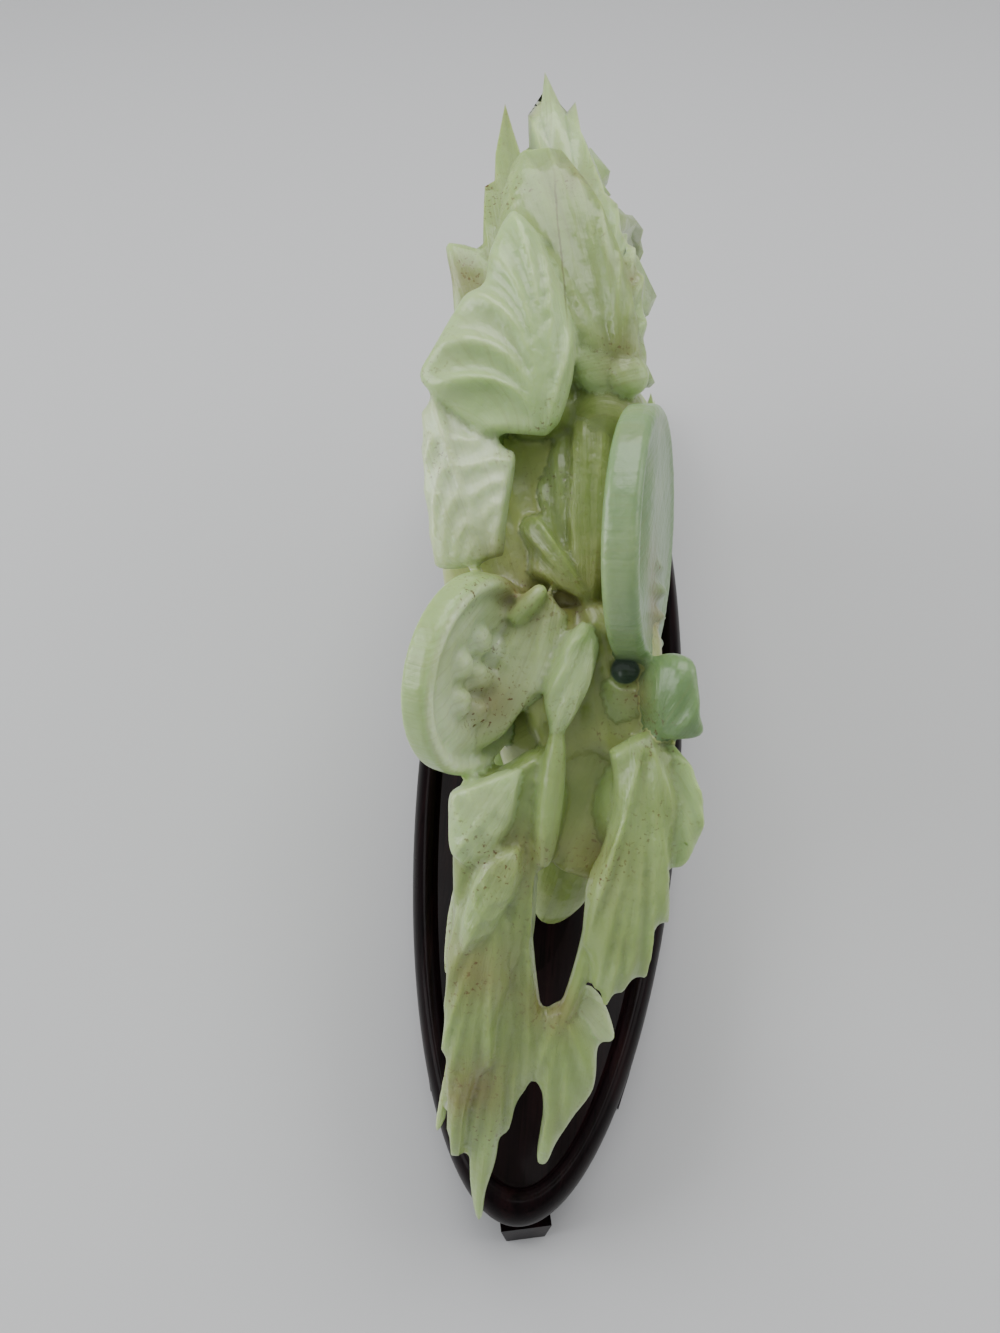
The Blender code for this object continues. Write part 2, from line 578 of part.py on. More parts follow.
def oval_point(inset, turn, z):
    """A point of the board's oval, moved in by inset."""
    across = (STAND_WIDTH / 2 - inset) * math.cos(turn)
    along = (STAND_LENGTH / 2 - inset) * math.sin(turn)
    return Vector((across, along, z))


def loft_rings(shape, rings):
    """Skins closed rings of vertices, one after another, and fills the first and the last."""
    count = len(rings[0])
    loops = [[shape.verts.new(p) for p in ring] for ring in rings]
    for low, high in zip(loops, loops[1:]):
        for i in range(count):
            j = (i + 1) % count
            shape.faces.new((low[i], low[j], high[j], high[i]))
    shape.faces.new(reversed(loops[0]))
    shape.faces.new(loops[-1])
    bmesh.ops.recalc_face_normals(shape, faces=shape.faces)


def board(collection):
    """The oval board: a rounded rim round a sunk floor, with the socket for the carving's foot."""
    turns = [math.tau * i / OVAL_SEGMENTS for i in range(OVAL_SEGMENTS)]
    underside = FOOT_HEIGHT
    bulge = RIM_WIDTH / 2
    profile = [(UNDERSIDE_INSET, underside),
               (UNDERSIDE_INSET - EDGE_CHAMFER_WIDTH, underside + EDGE_CHAMFER_HEIGHT)]
    for i in range(7):
        swing = math.pi * (RIM_SWING_START + RIM_SWING * i / 6)
        drop = bulge * RIM_STRETCH * (1 - math.sin(swing))
        profile.append((bulge * (1 - math.cos(swing)), RIM_TOP_Z - drop))
    profile += [(RIM_WIDTH - LIP_WIDTH, RIM_TOP_Z - LIP_DROP), (RIM_WIDTH, FLOOR_Z)]
    rings = [[oval_point(inset, t, z) for t in turns] for inset, z in profile]
    half_width = FOOT_WIDTH / 2 + SOCKET_SIDE_PLAY
    half_length = FOOT_LENGTH / 2 + SOCKET_END_PLAY
    for z in (FLOOR_Z, SOCKET_Z):
        rings.append([Vector((half_width * math.cos(t), half_length * math.sin(t), z)) for t in turns])
    shape = bmesh.new()
    loft_rings(shape, rings)
    return object_from(shape, "wooden_stand", collection)


def side_foot(name, side, end, collection):
    """A long bracket foot glued under the rim: it follows the oval for its length."""
    steps = 8
    rings = []
    for i in range(steps + 1):
        y = end * (STAND_LENGTH / 2 - SIDE_FOOT_END_GAP - SIDE_FOOT_LENGTH * (1 - i / steps))
        turn = math.asin(y / (STAND_LENGTH / 2))
        turn = turn if side > 0 else math.pi - turn
        outer_low = oval_point(UNDERSIDE_INSET - FOOT_SPLAY - FOOT_OVERHANG, turn, 0)
        outer_top = oval_point(UNDERSIDE_INSET, turn, FOOT_HEIGHT - GLUE_GAP)
        inner_top = oval_point(UNDERSIDE_INSET + FOOT_DEPTH, turn, FOOT_HEIGHT - GLUE_GAP)
        inner_low = oval_point(UNDERSIDE_INSET + FOOT_DEPTH * FOOT_UNDERSIDE_SHARE, turn, 0)
        rings.append([outer_low, outer_top, inner_top, inner_low])
    shape = bmesh.new()
    loft_rings(shape, rings)
    return object_from(shape, name, collection)


def end_foot(name, end, shift, turn, collection):
    """A short tapered block glued under the board's end."""
    shape = bmesh.new()
    bmesh.ops.create_cube(shape, size=1.0)
    for vertex in shape.verts:
        if vertex.co.z < 0:
            vertex.co.x *= END_FOOT_TAPER
    bmesh.ops.scale(shape, vec=(END_FOOT_WIDTH, FOOT_DEPTH, FOOT_HEIGHT - GLUE_GAP), verts=shape.verts)
    bmesh.ops.rotate(shape, matrix=Matrix.Rotation(turn, 3, "Z"), verts=shape.verts)
    middle = end * (STAND_LENGTH / 2 - FOOT_DEPTH / 2 - END_FOOT_INSET)
    bmesh.ops.translate(shape, vec=(shift, middle, (FOOT_HEIGHT - GLUE_GAP) / 2), verts=shape.verts)
    return object_from(shape, name, collection)


def build_stand(collection):
    wood = finish_material("dark hardwood", WOOD_COLOUR, 0.22)
    pieces = [board(collection)]
    for side, side_name in ((-1, "left"), (1, "right")):
        for end, end_name in ((-1, "near"), (1, "far")):
            pieces.append(side_foot(f"foot_{side_name}_{end_name}", side, end, collection))
    pieces.append(end_foot("foot_near_end", -1, NEAR_FOOT_SHIFT, NEAR_FOOT_TURN, collection))
    pieces.append(end_foot("foot_far_end", 1, 0, 0, collection))
    for piece in pieces:
        piece.data.materials.append(wood)


clear_scene()
lotus_group = new_collection("jade lotus group")
forms = new_collection("forms of the stone")
helpers = new_collection("helpers")
carve(lotus_group)
build_stand(lotus_group)
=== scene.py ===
"""A translucent green jade lotus carving on its dark lacquered stand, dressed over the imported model."""

import bmesh
import bpy
import numpy as np
from mathutils import Matrix, Vector


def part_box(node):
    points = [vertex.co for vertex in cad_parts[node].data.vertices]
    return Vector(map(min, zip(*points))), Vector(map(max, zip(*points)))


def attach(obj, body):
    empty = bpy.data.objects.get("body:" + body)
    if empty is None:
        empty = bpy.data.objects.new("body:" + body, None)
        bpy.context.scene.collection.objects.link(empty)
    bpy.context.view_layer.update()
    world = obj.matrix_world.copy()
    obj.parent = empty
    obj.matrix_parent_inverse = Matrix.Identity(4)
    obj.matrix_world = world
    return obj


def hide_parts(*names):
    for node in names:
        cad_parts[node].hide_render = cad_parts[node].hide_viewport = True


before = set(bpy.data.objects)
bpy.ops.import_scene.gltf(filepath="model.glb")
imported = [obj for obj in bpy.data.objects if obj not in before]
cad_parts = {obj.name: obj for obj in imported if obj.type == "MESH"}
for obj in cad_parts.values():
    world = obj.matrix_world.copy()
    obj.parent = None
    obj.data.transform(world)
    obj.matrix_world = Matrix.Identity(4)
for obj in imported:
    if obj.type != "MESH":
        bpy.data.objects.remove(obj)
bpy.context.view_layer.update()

MM = 0.001

# The camera looks steeply down the long way of the piece, from just above its low end. Its focal
# length is given on a 36 mm sensor whose long side is upright.
camera_data = bpy.data.cameras.new("camera")
camera_data.sensor_fit = "VERTICAL"
camera_data.sensor_height = 36.0
camera_data.lens = 28.33
camera_data.clip_start = 0.01
camera = bpy.data.objects.new("camera", camera_data)
bpy.context.scene.collection.objects.link(camera)
bpy.context.scene.camera = camera
camera_right = Vector((0.996, 0.094, 0.0)).normalized()
camera_forward = Vector((-0.06, 0.639, -0.767)).normalized()
camera_right = (camera_right - camera_forward * camera_right.dot(camera_forward)).normalized()
camera_up = camera_right.cross(camera_forward)
camera_turn = Matrix((camera_right, camera_up, -camera_forward)).transposed().to_4x4()
camera.matrix_world = Matrix.Translation(Vector((1.9, -200.7, 260.0)) * MM) @ camera_turn

# A plain pale floor, with soft light from all round: a wide lamp overhead, and one on each side, as in a
# white tent.
FLOOR_REACH = 8.0
floor_mesh = bpy.data.meshes.new("floor")
floor_corners = [(x * FLOOR_REACH, y * FLOOR_REACH, 0.0) for x, y in ((-1, -1), (1, -1), (1, 1), (-1, 1))]
floor_mesh.from_pydata(floor_corners, [], [(0, 1, 2, 3)])
floor = bpy.data.objects.new("floor", floor_mesh)
bpy.context.scene.collection.objects.link(floor)
floor_paint = bpy.data.materials.new("pale floor")
floor_paint.use_nodes = True
floor_shader = floor_paint.node_tree.nodes["Principled BSDF"]
floor_shader.inputs["Base Color"].default_value = (0.60, 0.60, 0.605, 1.0)
floor_shader.inputs["Roughness"].default_value = 0.9
floor_shader.inputs["Specular IOR Level"].default_value = 0.1
floor_mesh.materials.append(floor_paint)

world = bpy.data.worlds.new("soft surroundings")
bpy.context.scene.world = world
world.use_nodes = True
world.node_tree.nodes["Background"].inputs["Color"].default_value = (0.95, 0.97, 1.0, 1.0)
world.node_tree.nodes["Background"].inputs["Strength"].default_value = 0.42


def soft_lamp(name, place, size, power, colour):
    """A square area lamp that looks at the middle of the carving."""
    data = bpy.data.lights.new(name, "AREA")
    data.size = size
    data.energy = power
    data.color = colour
    lamp = bpy.data.objects.new(name, data)
    lamp.location = place
    lamp.rotation_euler = (Vector((0, -0.04, 0.09)) - Vector(place)).to_track_quat("-Z", "Y").to_euler()
    bpy.context.scene.collection.objects.link(lamp)


soft_lamp("overhead", (0.0, 0.25, 1.1), 0.9, 9.0, (1.0, 1.0, 1.0))
soft_lamp("left side", (-0.9, -0.2, 0.5), 0.7, 6.6, (0.97, 0.99, 1.0))
soft_lamp("right side", (0.9, 0.1, 0.55), 0.7, 3.0, (1.0, 1.0, 0.98))


def new_material(name):
    """A material whose shader is alone, and its tree."""
    material = bpy.data.materials.new(name)
    material.use_nodes = True
    tree = material.node_tree
    return material, tree, tree.nodes["Principled BSDF"]


def node(tree, kind, links=(), **values):
    """A shader node with its settings, linked to the sockets that links names."""
    made = tree.nodes.new(kind)
    for key, value in values.items():
        if key.startswith("in_"):
            made.inputs[key[3:].replace("_", " ")].default_value = value
        else:
            setattr(made, key, value)
    for socket, source in links:
        tree.links.new(source, made.inputs[socket])
    return made


def arithmetic(tree, operation, first, second=0.0, third=0.0):
    """A Math node's output. Each operand is a socket or a number."""
    made = tree.nodes.new("ShaderNodeMath")
    made.operation = operation
    for index, operand in enumerate((first, second, third)):
        if isinstance(operand, (int, float)):
            made.inputs[index].default_value = operand
        else:
            tree.links.new(operand, made.inputs[index])
    return made.outputs[0]


def blend_colour(tree, share, first, second, mode="MIX"):
    """A colour mix. Share is a socket or a number, and each colour a socket or four numbers."""
    made = tree.nodes.new("ShaderNodeMix")
    made.data_type = "RGBA"
    made.blend_type = mode
    for socket, value in ((made.inputs[0], share), (made.inputs[6], first), (made.inputs[7], second)):
        if isinstance(value, (int, float, tuple)):
            socket.default_value = value
        else:
            tree.links.new(value, socket)
    return made.outputs[2]


def ramp(tree, value, stops):
    """A Color Ramp's colour, from a socket through stops of (place, colour)."""
    made = tree.nodes.new("ShaderNodeValToRGB")
    elements = made.color_ramp.elements
    while len(elements) < len(stops):
        elements.new(0.5)
    for element, (place, colour) in zip(elements, stops):
        element.position = place
        element.color = colour
    tree.links.new(value, made.inputs[0])
    return made.outputs[0]


# The stand's board is one piece of near-black hardwood, turned to an oval with a rounded rim round a sunk
# floor, and lacquered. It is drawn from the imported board's own box, with a finer rim than the solid has.
board_low, board_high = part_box("wooden_stand")
HALF_WIDTH = (board_high.x - board_low.x) / 2
HALF_LENGTH = (board_high.y - board_low.y) / 2
UNDERSIDE_Z = board_low.z
RIM_TOP_Z = board_high.z
RIM_WIDTH = 7 * MM
FLOOR_Z = RIM_TOP_Z - 4 * MM
SOCKET_Z = FLOOR_Z - 4 * MM
UNDERSIDE_INSET = 5 * MM
SOCKET_HALVES = (15 * MM, 95 * MM)
BOARD_STEPS = 288


def oval_rings(profile, steps):
    """Rings of an oval: each (inset, height) of the profile is an ellipse moved in by inset."""
    turn = np.linspace(0, 2 * np.pi, steps, endpoint=False)
    inset, height = (np.array(profile)[:, i, None] for i in (0, 1))
    x = (HALF_WIDTH - inset) * np.cos(turn)
    y = (HALF_LENGTH - inset) * np.sin(turn)
    return np.stack([x, y, np.broadcast_to(height, x.shape)], axis=-1)


def skin_rings(rings):
    """Vertices and faces of closed rings skinned one after another, the first and last filled."""
    count, steps = rings.shape[:2]
    index = np.arange(count * steps).reshape(count, steps)
    beside = np.roll(index, -1, axis=1)
    quads = np.stack([index[:-1], beside[:-1], beside[1:], index[1:]], axis=-1).reshape(-1, 4)
    return rings.reshape(-1, 3), quads.tolist() + [index[0, ::-1].tolist(), index[-1].tolist()]


def new_piece(name, points, faces):
    """A smooth mesh object at the origin, with its normals turned outwards."""
    mesh = bpy.data.meshes.new(name)
    mesh.from_pydata(points.tolist() if hasattr(points, "tolist") else points, [], faces)
    shape = bmesh.new()
    shape.from_mesh(mesh)
    bmesh.ops.remove_doubles(shape, verts=shape.verts, dist=1e-7)
    bmesh.ops.recalc_face_normals(shape, faces=shape.faces)
    shape.to_mesh(mesh)
    shape.free()
    mesh.shade_smooth()
    obj = bpy.data.objects.new(name, mesh)
    bpy.context.scene.collection.objects.link(obj)
    return obj


rim_bulge = RIM_WIDTH / 2
rim_swing = np.pi * (-0.36 + 0.86 * np.linspace(0, 1, 26))
rim_profile = [(UNDERSIDE_INSET, UNDERSIDE_Z), (UNDERSIDE_INSET - 1.5 * MM, UNDERSIDE_Z + 2.5 * MM)]
rim_profile += list(zip(rim_bulge * (1 - np.cos(rim_swing)), RIM_TOP_Z - rim_bulge * 1.6 * (1 - np.sin(rim_swing))))
rim_profile += [
    (RIM_WIDTH - 2.6 * MM, RIM_TOP_Z - 0.15 * MM),
    (RIM_WIDTH - 1.7 * MM, RIM_TOP_Z - 0.6 * MM),
    (RIM_WIDTH - 1.0 * MM, RIM_TOP_Z - 1.7 * MM),
    (RIM_WIDTH - 0.5 * MM, FLOOR_Z + 0.5 * MM),
    (RIM_WIDTH, FLOOR_Z),
]
board_rings = oval_rings(rim_profile, BOARD_STEPS)
socket_turn = np.linspace(0, 2 * np.pi, BOARD_STEPS, endpoint=False)
for socket_level in (FLOOR_Z, SOCKET_Z):
    ring = np.stack(
        [SOCKET_HALVES[0] * np.cos(socket_turn), SOCKET_HALVES[1] * np.sin(socket_turn),
         np.full(BOARD_STEPS, socket_level)], axis=-1)
    board_rings = np.concatenate([board_rings, ring[None]])
board = new_piece("stand_board", *skin_rings(board_rings))
board.data.set_sharp_from_angle(angle=np.radians(40))


def lacquered_wood():
    """Near-black hardwood: streaks of red-brown grain along Y, fine pores, and a clear glossy coat."""
    material, tree, shader = new_material("lacquered hardwood")
    place = node(tree, "ShaderNodeTexCoord").outputs["Object"]
    along = node(tree, "ShaderNodeMapping", [("Vector", place)], in_Scale=(260.0, 14.0, 260.0)).outputs[0]
    grain = node(tree, "ShaderNodeTexNoise", [("Vector", along)], in_Scale=1.0, in_Detail=8.0, in_Roughness=0.65)
    fine = node(tree, "ShaderNodeMapping", [("Vector", place)], in_Scale=(1500.0, 60.0, 1500.0)).outputs[0]
    pores = node(tree, "ShaderNodeTexNoise", [("Vector", fine)], in_Scale=1.0, in_Detail=4.0)
    colour = ramp(tree, grain.outputs["Fac"], [
        (0.30, (0.0025, 0.0012, 0.0016, 1)), (0.52, (0.006, 0.0024, 0.003, 1)),
        (0.70, (0.015, 0.0048, 0.0055, 1)), (0.85, (0.026, 0.009, 0.008, 1))])
    dark = ramp(tree, pores.outputs["Fac"], [(0.36, (0.45, 0.45, 0.45, 1)), (0.46, (1, 1, 1, 1))])
    tree.links.new(blend_colour(tree, 1.0, colour, dark, "MULTIPLY"), shader.inputs["Base Color"])
    smudge = node(tree, "ShaderNodeTexNoise", [("Vector", place)], in_Scale=45.0, in_Detail=5.0)
    rough = arithmetic(tree, "MULTIPLY_ADD", smudge.outputs["Fac"], 0.22, 0.20)
    tree.links.new(rough, shader.inputs["Roughness"])
    bump = node(tree, "ShaderNodeBump", [("Height", pores.outputs["Fac"])], in_Strength=0.12, in_Distance=0.0002)
    tree.links.new(bump.outputs[0], shader.inputs["Normal"])
    shader.inputs["Specular IOR Level"].default_value = 0.06
    shader.inputs["Coat Weight"].default_value = 0.04
    shader.inputs["Coat Roughness"].default_value = 0.08
    return material


wood = lacquered_wood()
board.data.materials.append(wood)
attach(board, "root")
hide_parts("wooden_stand")

# Six small feet of the same wood are glued under the board: four long brackets that follow the rim, and
# a tapered block at each end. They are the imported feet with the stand's finish.
for foot_name in ("left_near", "left_far", "right_near", "right_far", "near_end", "far_end"):
    foot_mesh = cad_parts["foot_" + foot_name].data
    foot_mesh.materials.clear()
    foot_mesh.materials.append(wood)

# The carving is one stone, cut right through between its leaves. Each leaf, pod, petal and stem is a
# closed surface worked out below, in millimetres from the stand's floor, and all are joined at the end.
TAU = 2 * np.pi
# Tints, from nearly clear to a cool dark green. The deepest is the hollows' own yellow-olive stone, painted lighter
# there: painted light for the light that shines through the stone into them.
CLEAR, PALE, MINT, LEAF, OLIVE, DEEP_LIT_THROUGH, COOL = 0.04, 0.18, 0.32, 0.52, 0.78, 1.0, 1.6
stone_shells = []

# Where the stone is stained rust-brown: a place in mm and how far the stain reaches.
RUST_SPOTS = (
    (-16, -4, 158, 3.0), (-18, -20, 155, 2.5), (-21, -37, 146, 4.0), (-17, -40, 145, 3.0), (-20, -52, 137, 4.0),
    (-2, -20, 155, 4.0), (8, -36, 146, 3.0), (7, -48, 139, 4.0), (-8, -78, 119, 5.0), (2, -78, 110, 6.0),
    (-6, -80, 112, 5.0), (14, -93, 106, 4.0), (-10, -95, 104, 5.0), (12, -75, 118, 5.0), (16, -80, 112, 4.0),
    (-4, -112, 84, 6.0), (-9, -125, 68, 7.0), (-10, -138, 48, 7.0), (12, -112, 84, 6.0), (4, -128, 62, 5.0),
)


def unit(vector):
    vector = np.asarray(vector, float)
    return vector / np.linalg.norm(vector, axis=-1, keepdims=True)


def add_shell(name, points, faces, grain, tint, edge):
    """Keeps a closed surface of the stone. grain is each point's place along and across its leaf in mm,
    tint how deep and yellow the stone is there, with painted light in it where the hollows and the left pod's face
    are made lighter for light shining through the stone, and edge how near a thin margin. They are kept as the
    colours grain and stone, the second with the rust of the nearest stains as its blue."""
    mesh = bpy.data.meshes.new(name)
    place = points * MM + np.array([0.0, 0.0, FLOOR_Z])
    mesh.from_pydata(place.tolist(), [], faces)
    count = len(points)
    rust = sum(np.exp(-((points - spot) ** 2).sum(axis=1) / reach ** 2) for *spot, reach in RUST_SPOTS)
    layers = {
        "grain": (grain[:, 0] / 100, grain[:, 1] / 100, np.full(count, len(stone_shells) / 200)),
        "stone": (np.broadcast_to(tint, count), np.broadcast_to(edge, count), np.clip(rust, 0, 1)),
    }
    for layer, channels in layers.items():
        attribute = mesh.color_attributes.new(layer, "FLOAT_COLOR", "POINT")
        values = np.stack([*channels, np.ones(count)], axis=1)
        attribute.data.foreach_set("color", np.ascontiguousarray(values, np.float32).ravel())
    shape = bmesh.new()
    shape.from_mesh(mesh)
    bmesh.ops.remove_doubles(shape, verts=shape.verts, dist=2e-6)
    bmesh.ops.recalc_face_normals(shape, faces=shape.faces)
    shape.to_mesh(mesh)
    shape.free()
    stone_shells.append(bpy.data.objects.new(name, mesh))


def closed_rings(body, first, last):
    """Vertices and faces of a surface of rings between two poles."""
    rows, steps = body.shape[:2]
    index = 1 + np.arange(rows * steps).reshape(rows, steps)
    beside = np.roll(index, -1, axis=1)
    quads = np.stack([index[:-1], beside[:-1], beside[1:], index[1:]], axis=-1).reshape(-1, 4)
    end = 1 + rows * steps
    foot = np.stack([np.zeros(steps, int), beside[0], index[0]], axis=-1)
    head = np.stack([np.full(steps, end), index[-1], beside[-1]], axis=-1)
    points = np.concatenate([first[None], body.reshape(-1, 3), last[None]])
    return points, quads.tolist() + foot.tolist() + head.tolist()


def no_relief(u, v):
    return 0.0 * u


def feather(count, depth, slant=0.35, rib=0.06):
    """A midrib with side veins: a groove along the middle, and count slanting grooves on each side."""
    def height(u, v):
        middle = np.exp(-(v / rib) ** 2)
        stripe = np.mod(count * (u - slant * np.abs(v)), 1.0) - 0.5
        side = np.exp(-(stripe / 0.13) ** 2) * np.minimum(1.0, np.abs(v) * 6) * np.sin(np.pi * np.clip(u, 0, 1)) ** 0.5
        return -depth * (1.3 * middle + side)
    return height


def flutes(count, depth, sway=0.0):
    """Grooves that run the length of a leaf: count ridges across it, swaying a little."""
    def height(u, v):
        across = v + sway * np.sin(5 * u)
        return depth * (np.abs(np.cos(np.pi * count * across / 2)) - 0.6) * np.sin(np.pi * np.clip(u, 0, 1)) ** 0.4
    return height


def blade(name, root, bend, tip, faces, width, thick=3.0, belly=0.5, blunt=0.75, cup=0.0, teeth=0, bite=0.25,
          along=26, around=16, relief=no_relief, tint=LEAF, clear=0.35, ruffle=0.0, waves=4, left=1.0, right=1.0):
    """A leaf, petal or stem: a lens-shaped section carried along a quadratic curve from root to tip.

    The section's half sizes at u are width / 2 and thick / 2 times sin(pi u^w)^blunt, with w set so that
    the widest place is at belly. Its edges rise by cup and swing by ruffle, teeth bite them back, and
    relief is added on the side that the leaf faces. left and right widen one half alone."""
    root, bend, tip, forward = (np.array(p, float) for p in (root, bend, tip, faces))
    forward = unit(forward)
    warp = np.log(0.5) / np.log(belly)
    u = np.linspace(0, 1, along + 1)[1:-1][:, None]
    turn = np.linspace(0, TAU, around, endpoint=False)[None, :]
    u, turn = np.broadcast_arrays(u, turn)
    swell = np.sin(np.pi * u ** warp) ** blunt
    centre = root * (1 - u[..., None]) ** 2 + bend * 2 * u[..., None] * (1 - u[..., None]) + tip * u[..., None] ** 2
    slope = unit((bend - root) * (1 - u[..., None]) + (tip - bend) * u[..., None])
    normal = unit(forward - slope * (slope @ forward)[..., None])
    side = np.cross(slope, normal)
    v = np.cos(turn)
    half = swell * width / 2 * np.where(v > 0, right, left)
    if teeth:
        half = half * (1 - bite * np.mod(teeth * u, 1.0))
    across = half * v
    upper = np.sin(turn) > 0
    rise = swell * thick / 2 * np.sin(turn) + cup * across * across / (width / 2)
    rise = rise + ruffle * np.sin(TAU * waves * u) * v * v * swell
    rise = rise + np.where(upper, relief(u, v), 0.0) * np.minimum(1.0, swell * 2) * np.sin(turn)
    body = centre + side * across[..., None] + normal * rise[..., None]
    points, skin = closed_rings(body, root, tip)
    length = np.linalg.norm(bend - root) + np.linalg.norm(tip - bend)
    inner = np.stack([u * length, across], axis=-1).reshape(-1, 2)
    grain = np.concatenate([[[0.0, 0.0]], inner, [[length, 0.0]]])
    margin = np.clip(np.abs(v) ** 6 + np.clip(u - 0.72, 0, 1) * 2.2, 0, 1).ravel() * clear * 2
    add_shell(name, points, skin, grain, tint, np.clip(np.concatenate([[0.0], margin, [clear * 2]]), 0, 1))


def lump(name, middle, size, along=12, around=16, tint=OLIVE, furrow=0.0):
    """A rounded mass: a sphere stretched to its three full sizes across, along and up. Wavering furrows that
    run down its sides, as between stems cut in relief, are sunk into it by furrow."""
    u = np.linspace(0, np.pi, along + 1)[1:-1][:, None]
    turn = np.linspace(0, TAU, around, endpoint=False)[None, :]
    ball = np.stack(np.broadcast_arrays(np.sin(u) * np.cos(turn), np.sin(u) * np.sin(turn), np.cos(u)), axis=-1)
    reach = np.array(size) / 2
    middle = np.array(middle, float)
    top, bottom = middle + [0, 0, reach[2]], middle - [0, 0, reach[2]]
    wander = turn * 11 + 1.2 * np.sin(3 * u) + 0.8 * np.sin(2 * turn)
    sunk = furrow * (1 - np.abs(np.sin(wander))) ** 2 * np.sin(u) ** 2
    points, skin = closed_rings(middle + ball * (reach - sunk[..., None]), top, bottom)
    add_shell(name, points, skin, points[:, [2, 1]], tint, 0.0)


def dish(name, middle, faces, radius, thick, stretch=1.0, dip=0.0, bowl=0.0, waves=0, wave=0.0, around=40,
         along=20, square=0.5, relief=no_relief, tint=MINT, wall=None, clear=0.2):
    """A round leaf or seed pod: a sphere squashed to a disc with square shoulders, its wall tinted apart if given.

    At ring r of the sphere and angle t the radius is r^square, with rings set evenly over the face and wall, the face sinks by dip (1 - r), both faces
    by bowl (1 - r), and the rim swings by wave cos(waves t). relief is added on the face."""
    normal = unit(faces)
    upper = unit(np.array([0, 0, 1.0]) - normal * normal[2])
    side = np.cross(upper, normal)
    face_polar = np.arcsin(np.linspace(0, 0.95, along // 2 - 4)[1:] ** (1 / square))
    wall_polar = np.arccos(np.linspace(np.cos(face_polar[-1]) ** square, 0, 6)[1:] ** (1 / square))
    front = np.concatenate([face_polar, wall_polar])
    polar = np.concatenate([front, np.pi - front[-2::-1]])[:, None]
    turn = np.linspace(0, TAU, around, endpoint=False)[None, :]
    polar, turn = np.broadcast_arrays(polar, turn)
    ring, z = np.sin(polar), np.cos(polar)
    reach = radius * ring ** square
    height = thick / 2 * np.sign(z) * np.abs(z) ** square - bowl * (1 - ring)
    height = height + wave * np.cos(waves * turn) * ring ** 2 - dip * (1 - ring) * (z > 0)
    height = height + np.where(z > 0.02, relief(ring ** square, turn), 0.0)
    x, y = reach * np.cos(turn), reach * np.sin(turn) * stretch
    middle = np.array(middle, float)
    body = middle + side * x[..., None] + upper * y[..., None] + normal * height[..., None]
    face_middle = middle + normal * (thick / 2 - bowl - dip)
    back_middle = middle - normal * (thick / 2 + bowl)
    points, skin = closed_rings(body, face_middle, back_middle)
    grain = np.concatenate([[[0.0, 0.0]], np.stack([x, y], axis=-1).reshape(-1, 2), [[0.0, 0.0]]])
    margin = np.concatenate([[0.0], (ring ** 8).ravel() * clear * 2, [0.0]])
    if wall is not None:
        tint = np.concatenate([[tint], np.where(ring.ravel() > 0.95, wall, tint), [wall]])
    add_shell(name, points, skin, grain, tint, np.clip(margin, 0, 1))


def side_veins(middle, count, depth):
    """A midrib at a = middle, with count veins that slant away from it on each side."""
    def height(s, a):
        away = np.abs(a - middle)
        rib = np.exp(-(away / 0.025) ** 2)
        stripe = np.mod(count * (s - 1.3 * away), 1.0) - 0.5
        return depth * (rib + 0.7 * np.exp(-(stripe / 0.16) ** 2) * np.minimum(1.0, away * 12))
    return height


# The low end slopes from the crown down to the hanging tips: places along the piece and up from the floor.
LOW_END_SLOPE = np.array([(40, 168), (7, 163), (-30, 152), (-70, 125), (-93, 108), (-113, 85), (-135, 52),
                          (-153, 20), (-160, 5)], float)
WAY_DOWN = np.concatenate([[0], np.cumsum(np.hypot(*np.diff(LOW_END_SLOPE, axis=0).T))])
INWARDS = np.array([0, 0.64, -0.77])


def on_slope(place, sink):
    """A point of the low end's slope laid flat, given by its place across and its way down from the top of
    the slope, as a place in the stone. sink moves it into the stone."""
    across, down = np.asarray(place, float).T
    along, up = (np.interp(down, WAY_DOWN, axis) for axis in LOW_END_SLOPE.T)
    return np.stack([across, along, up], axis=-1) + INWARDS * sink


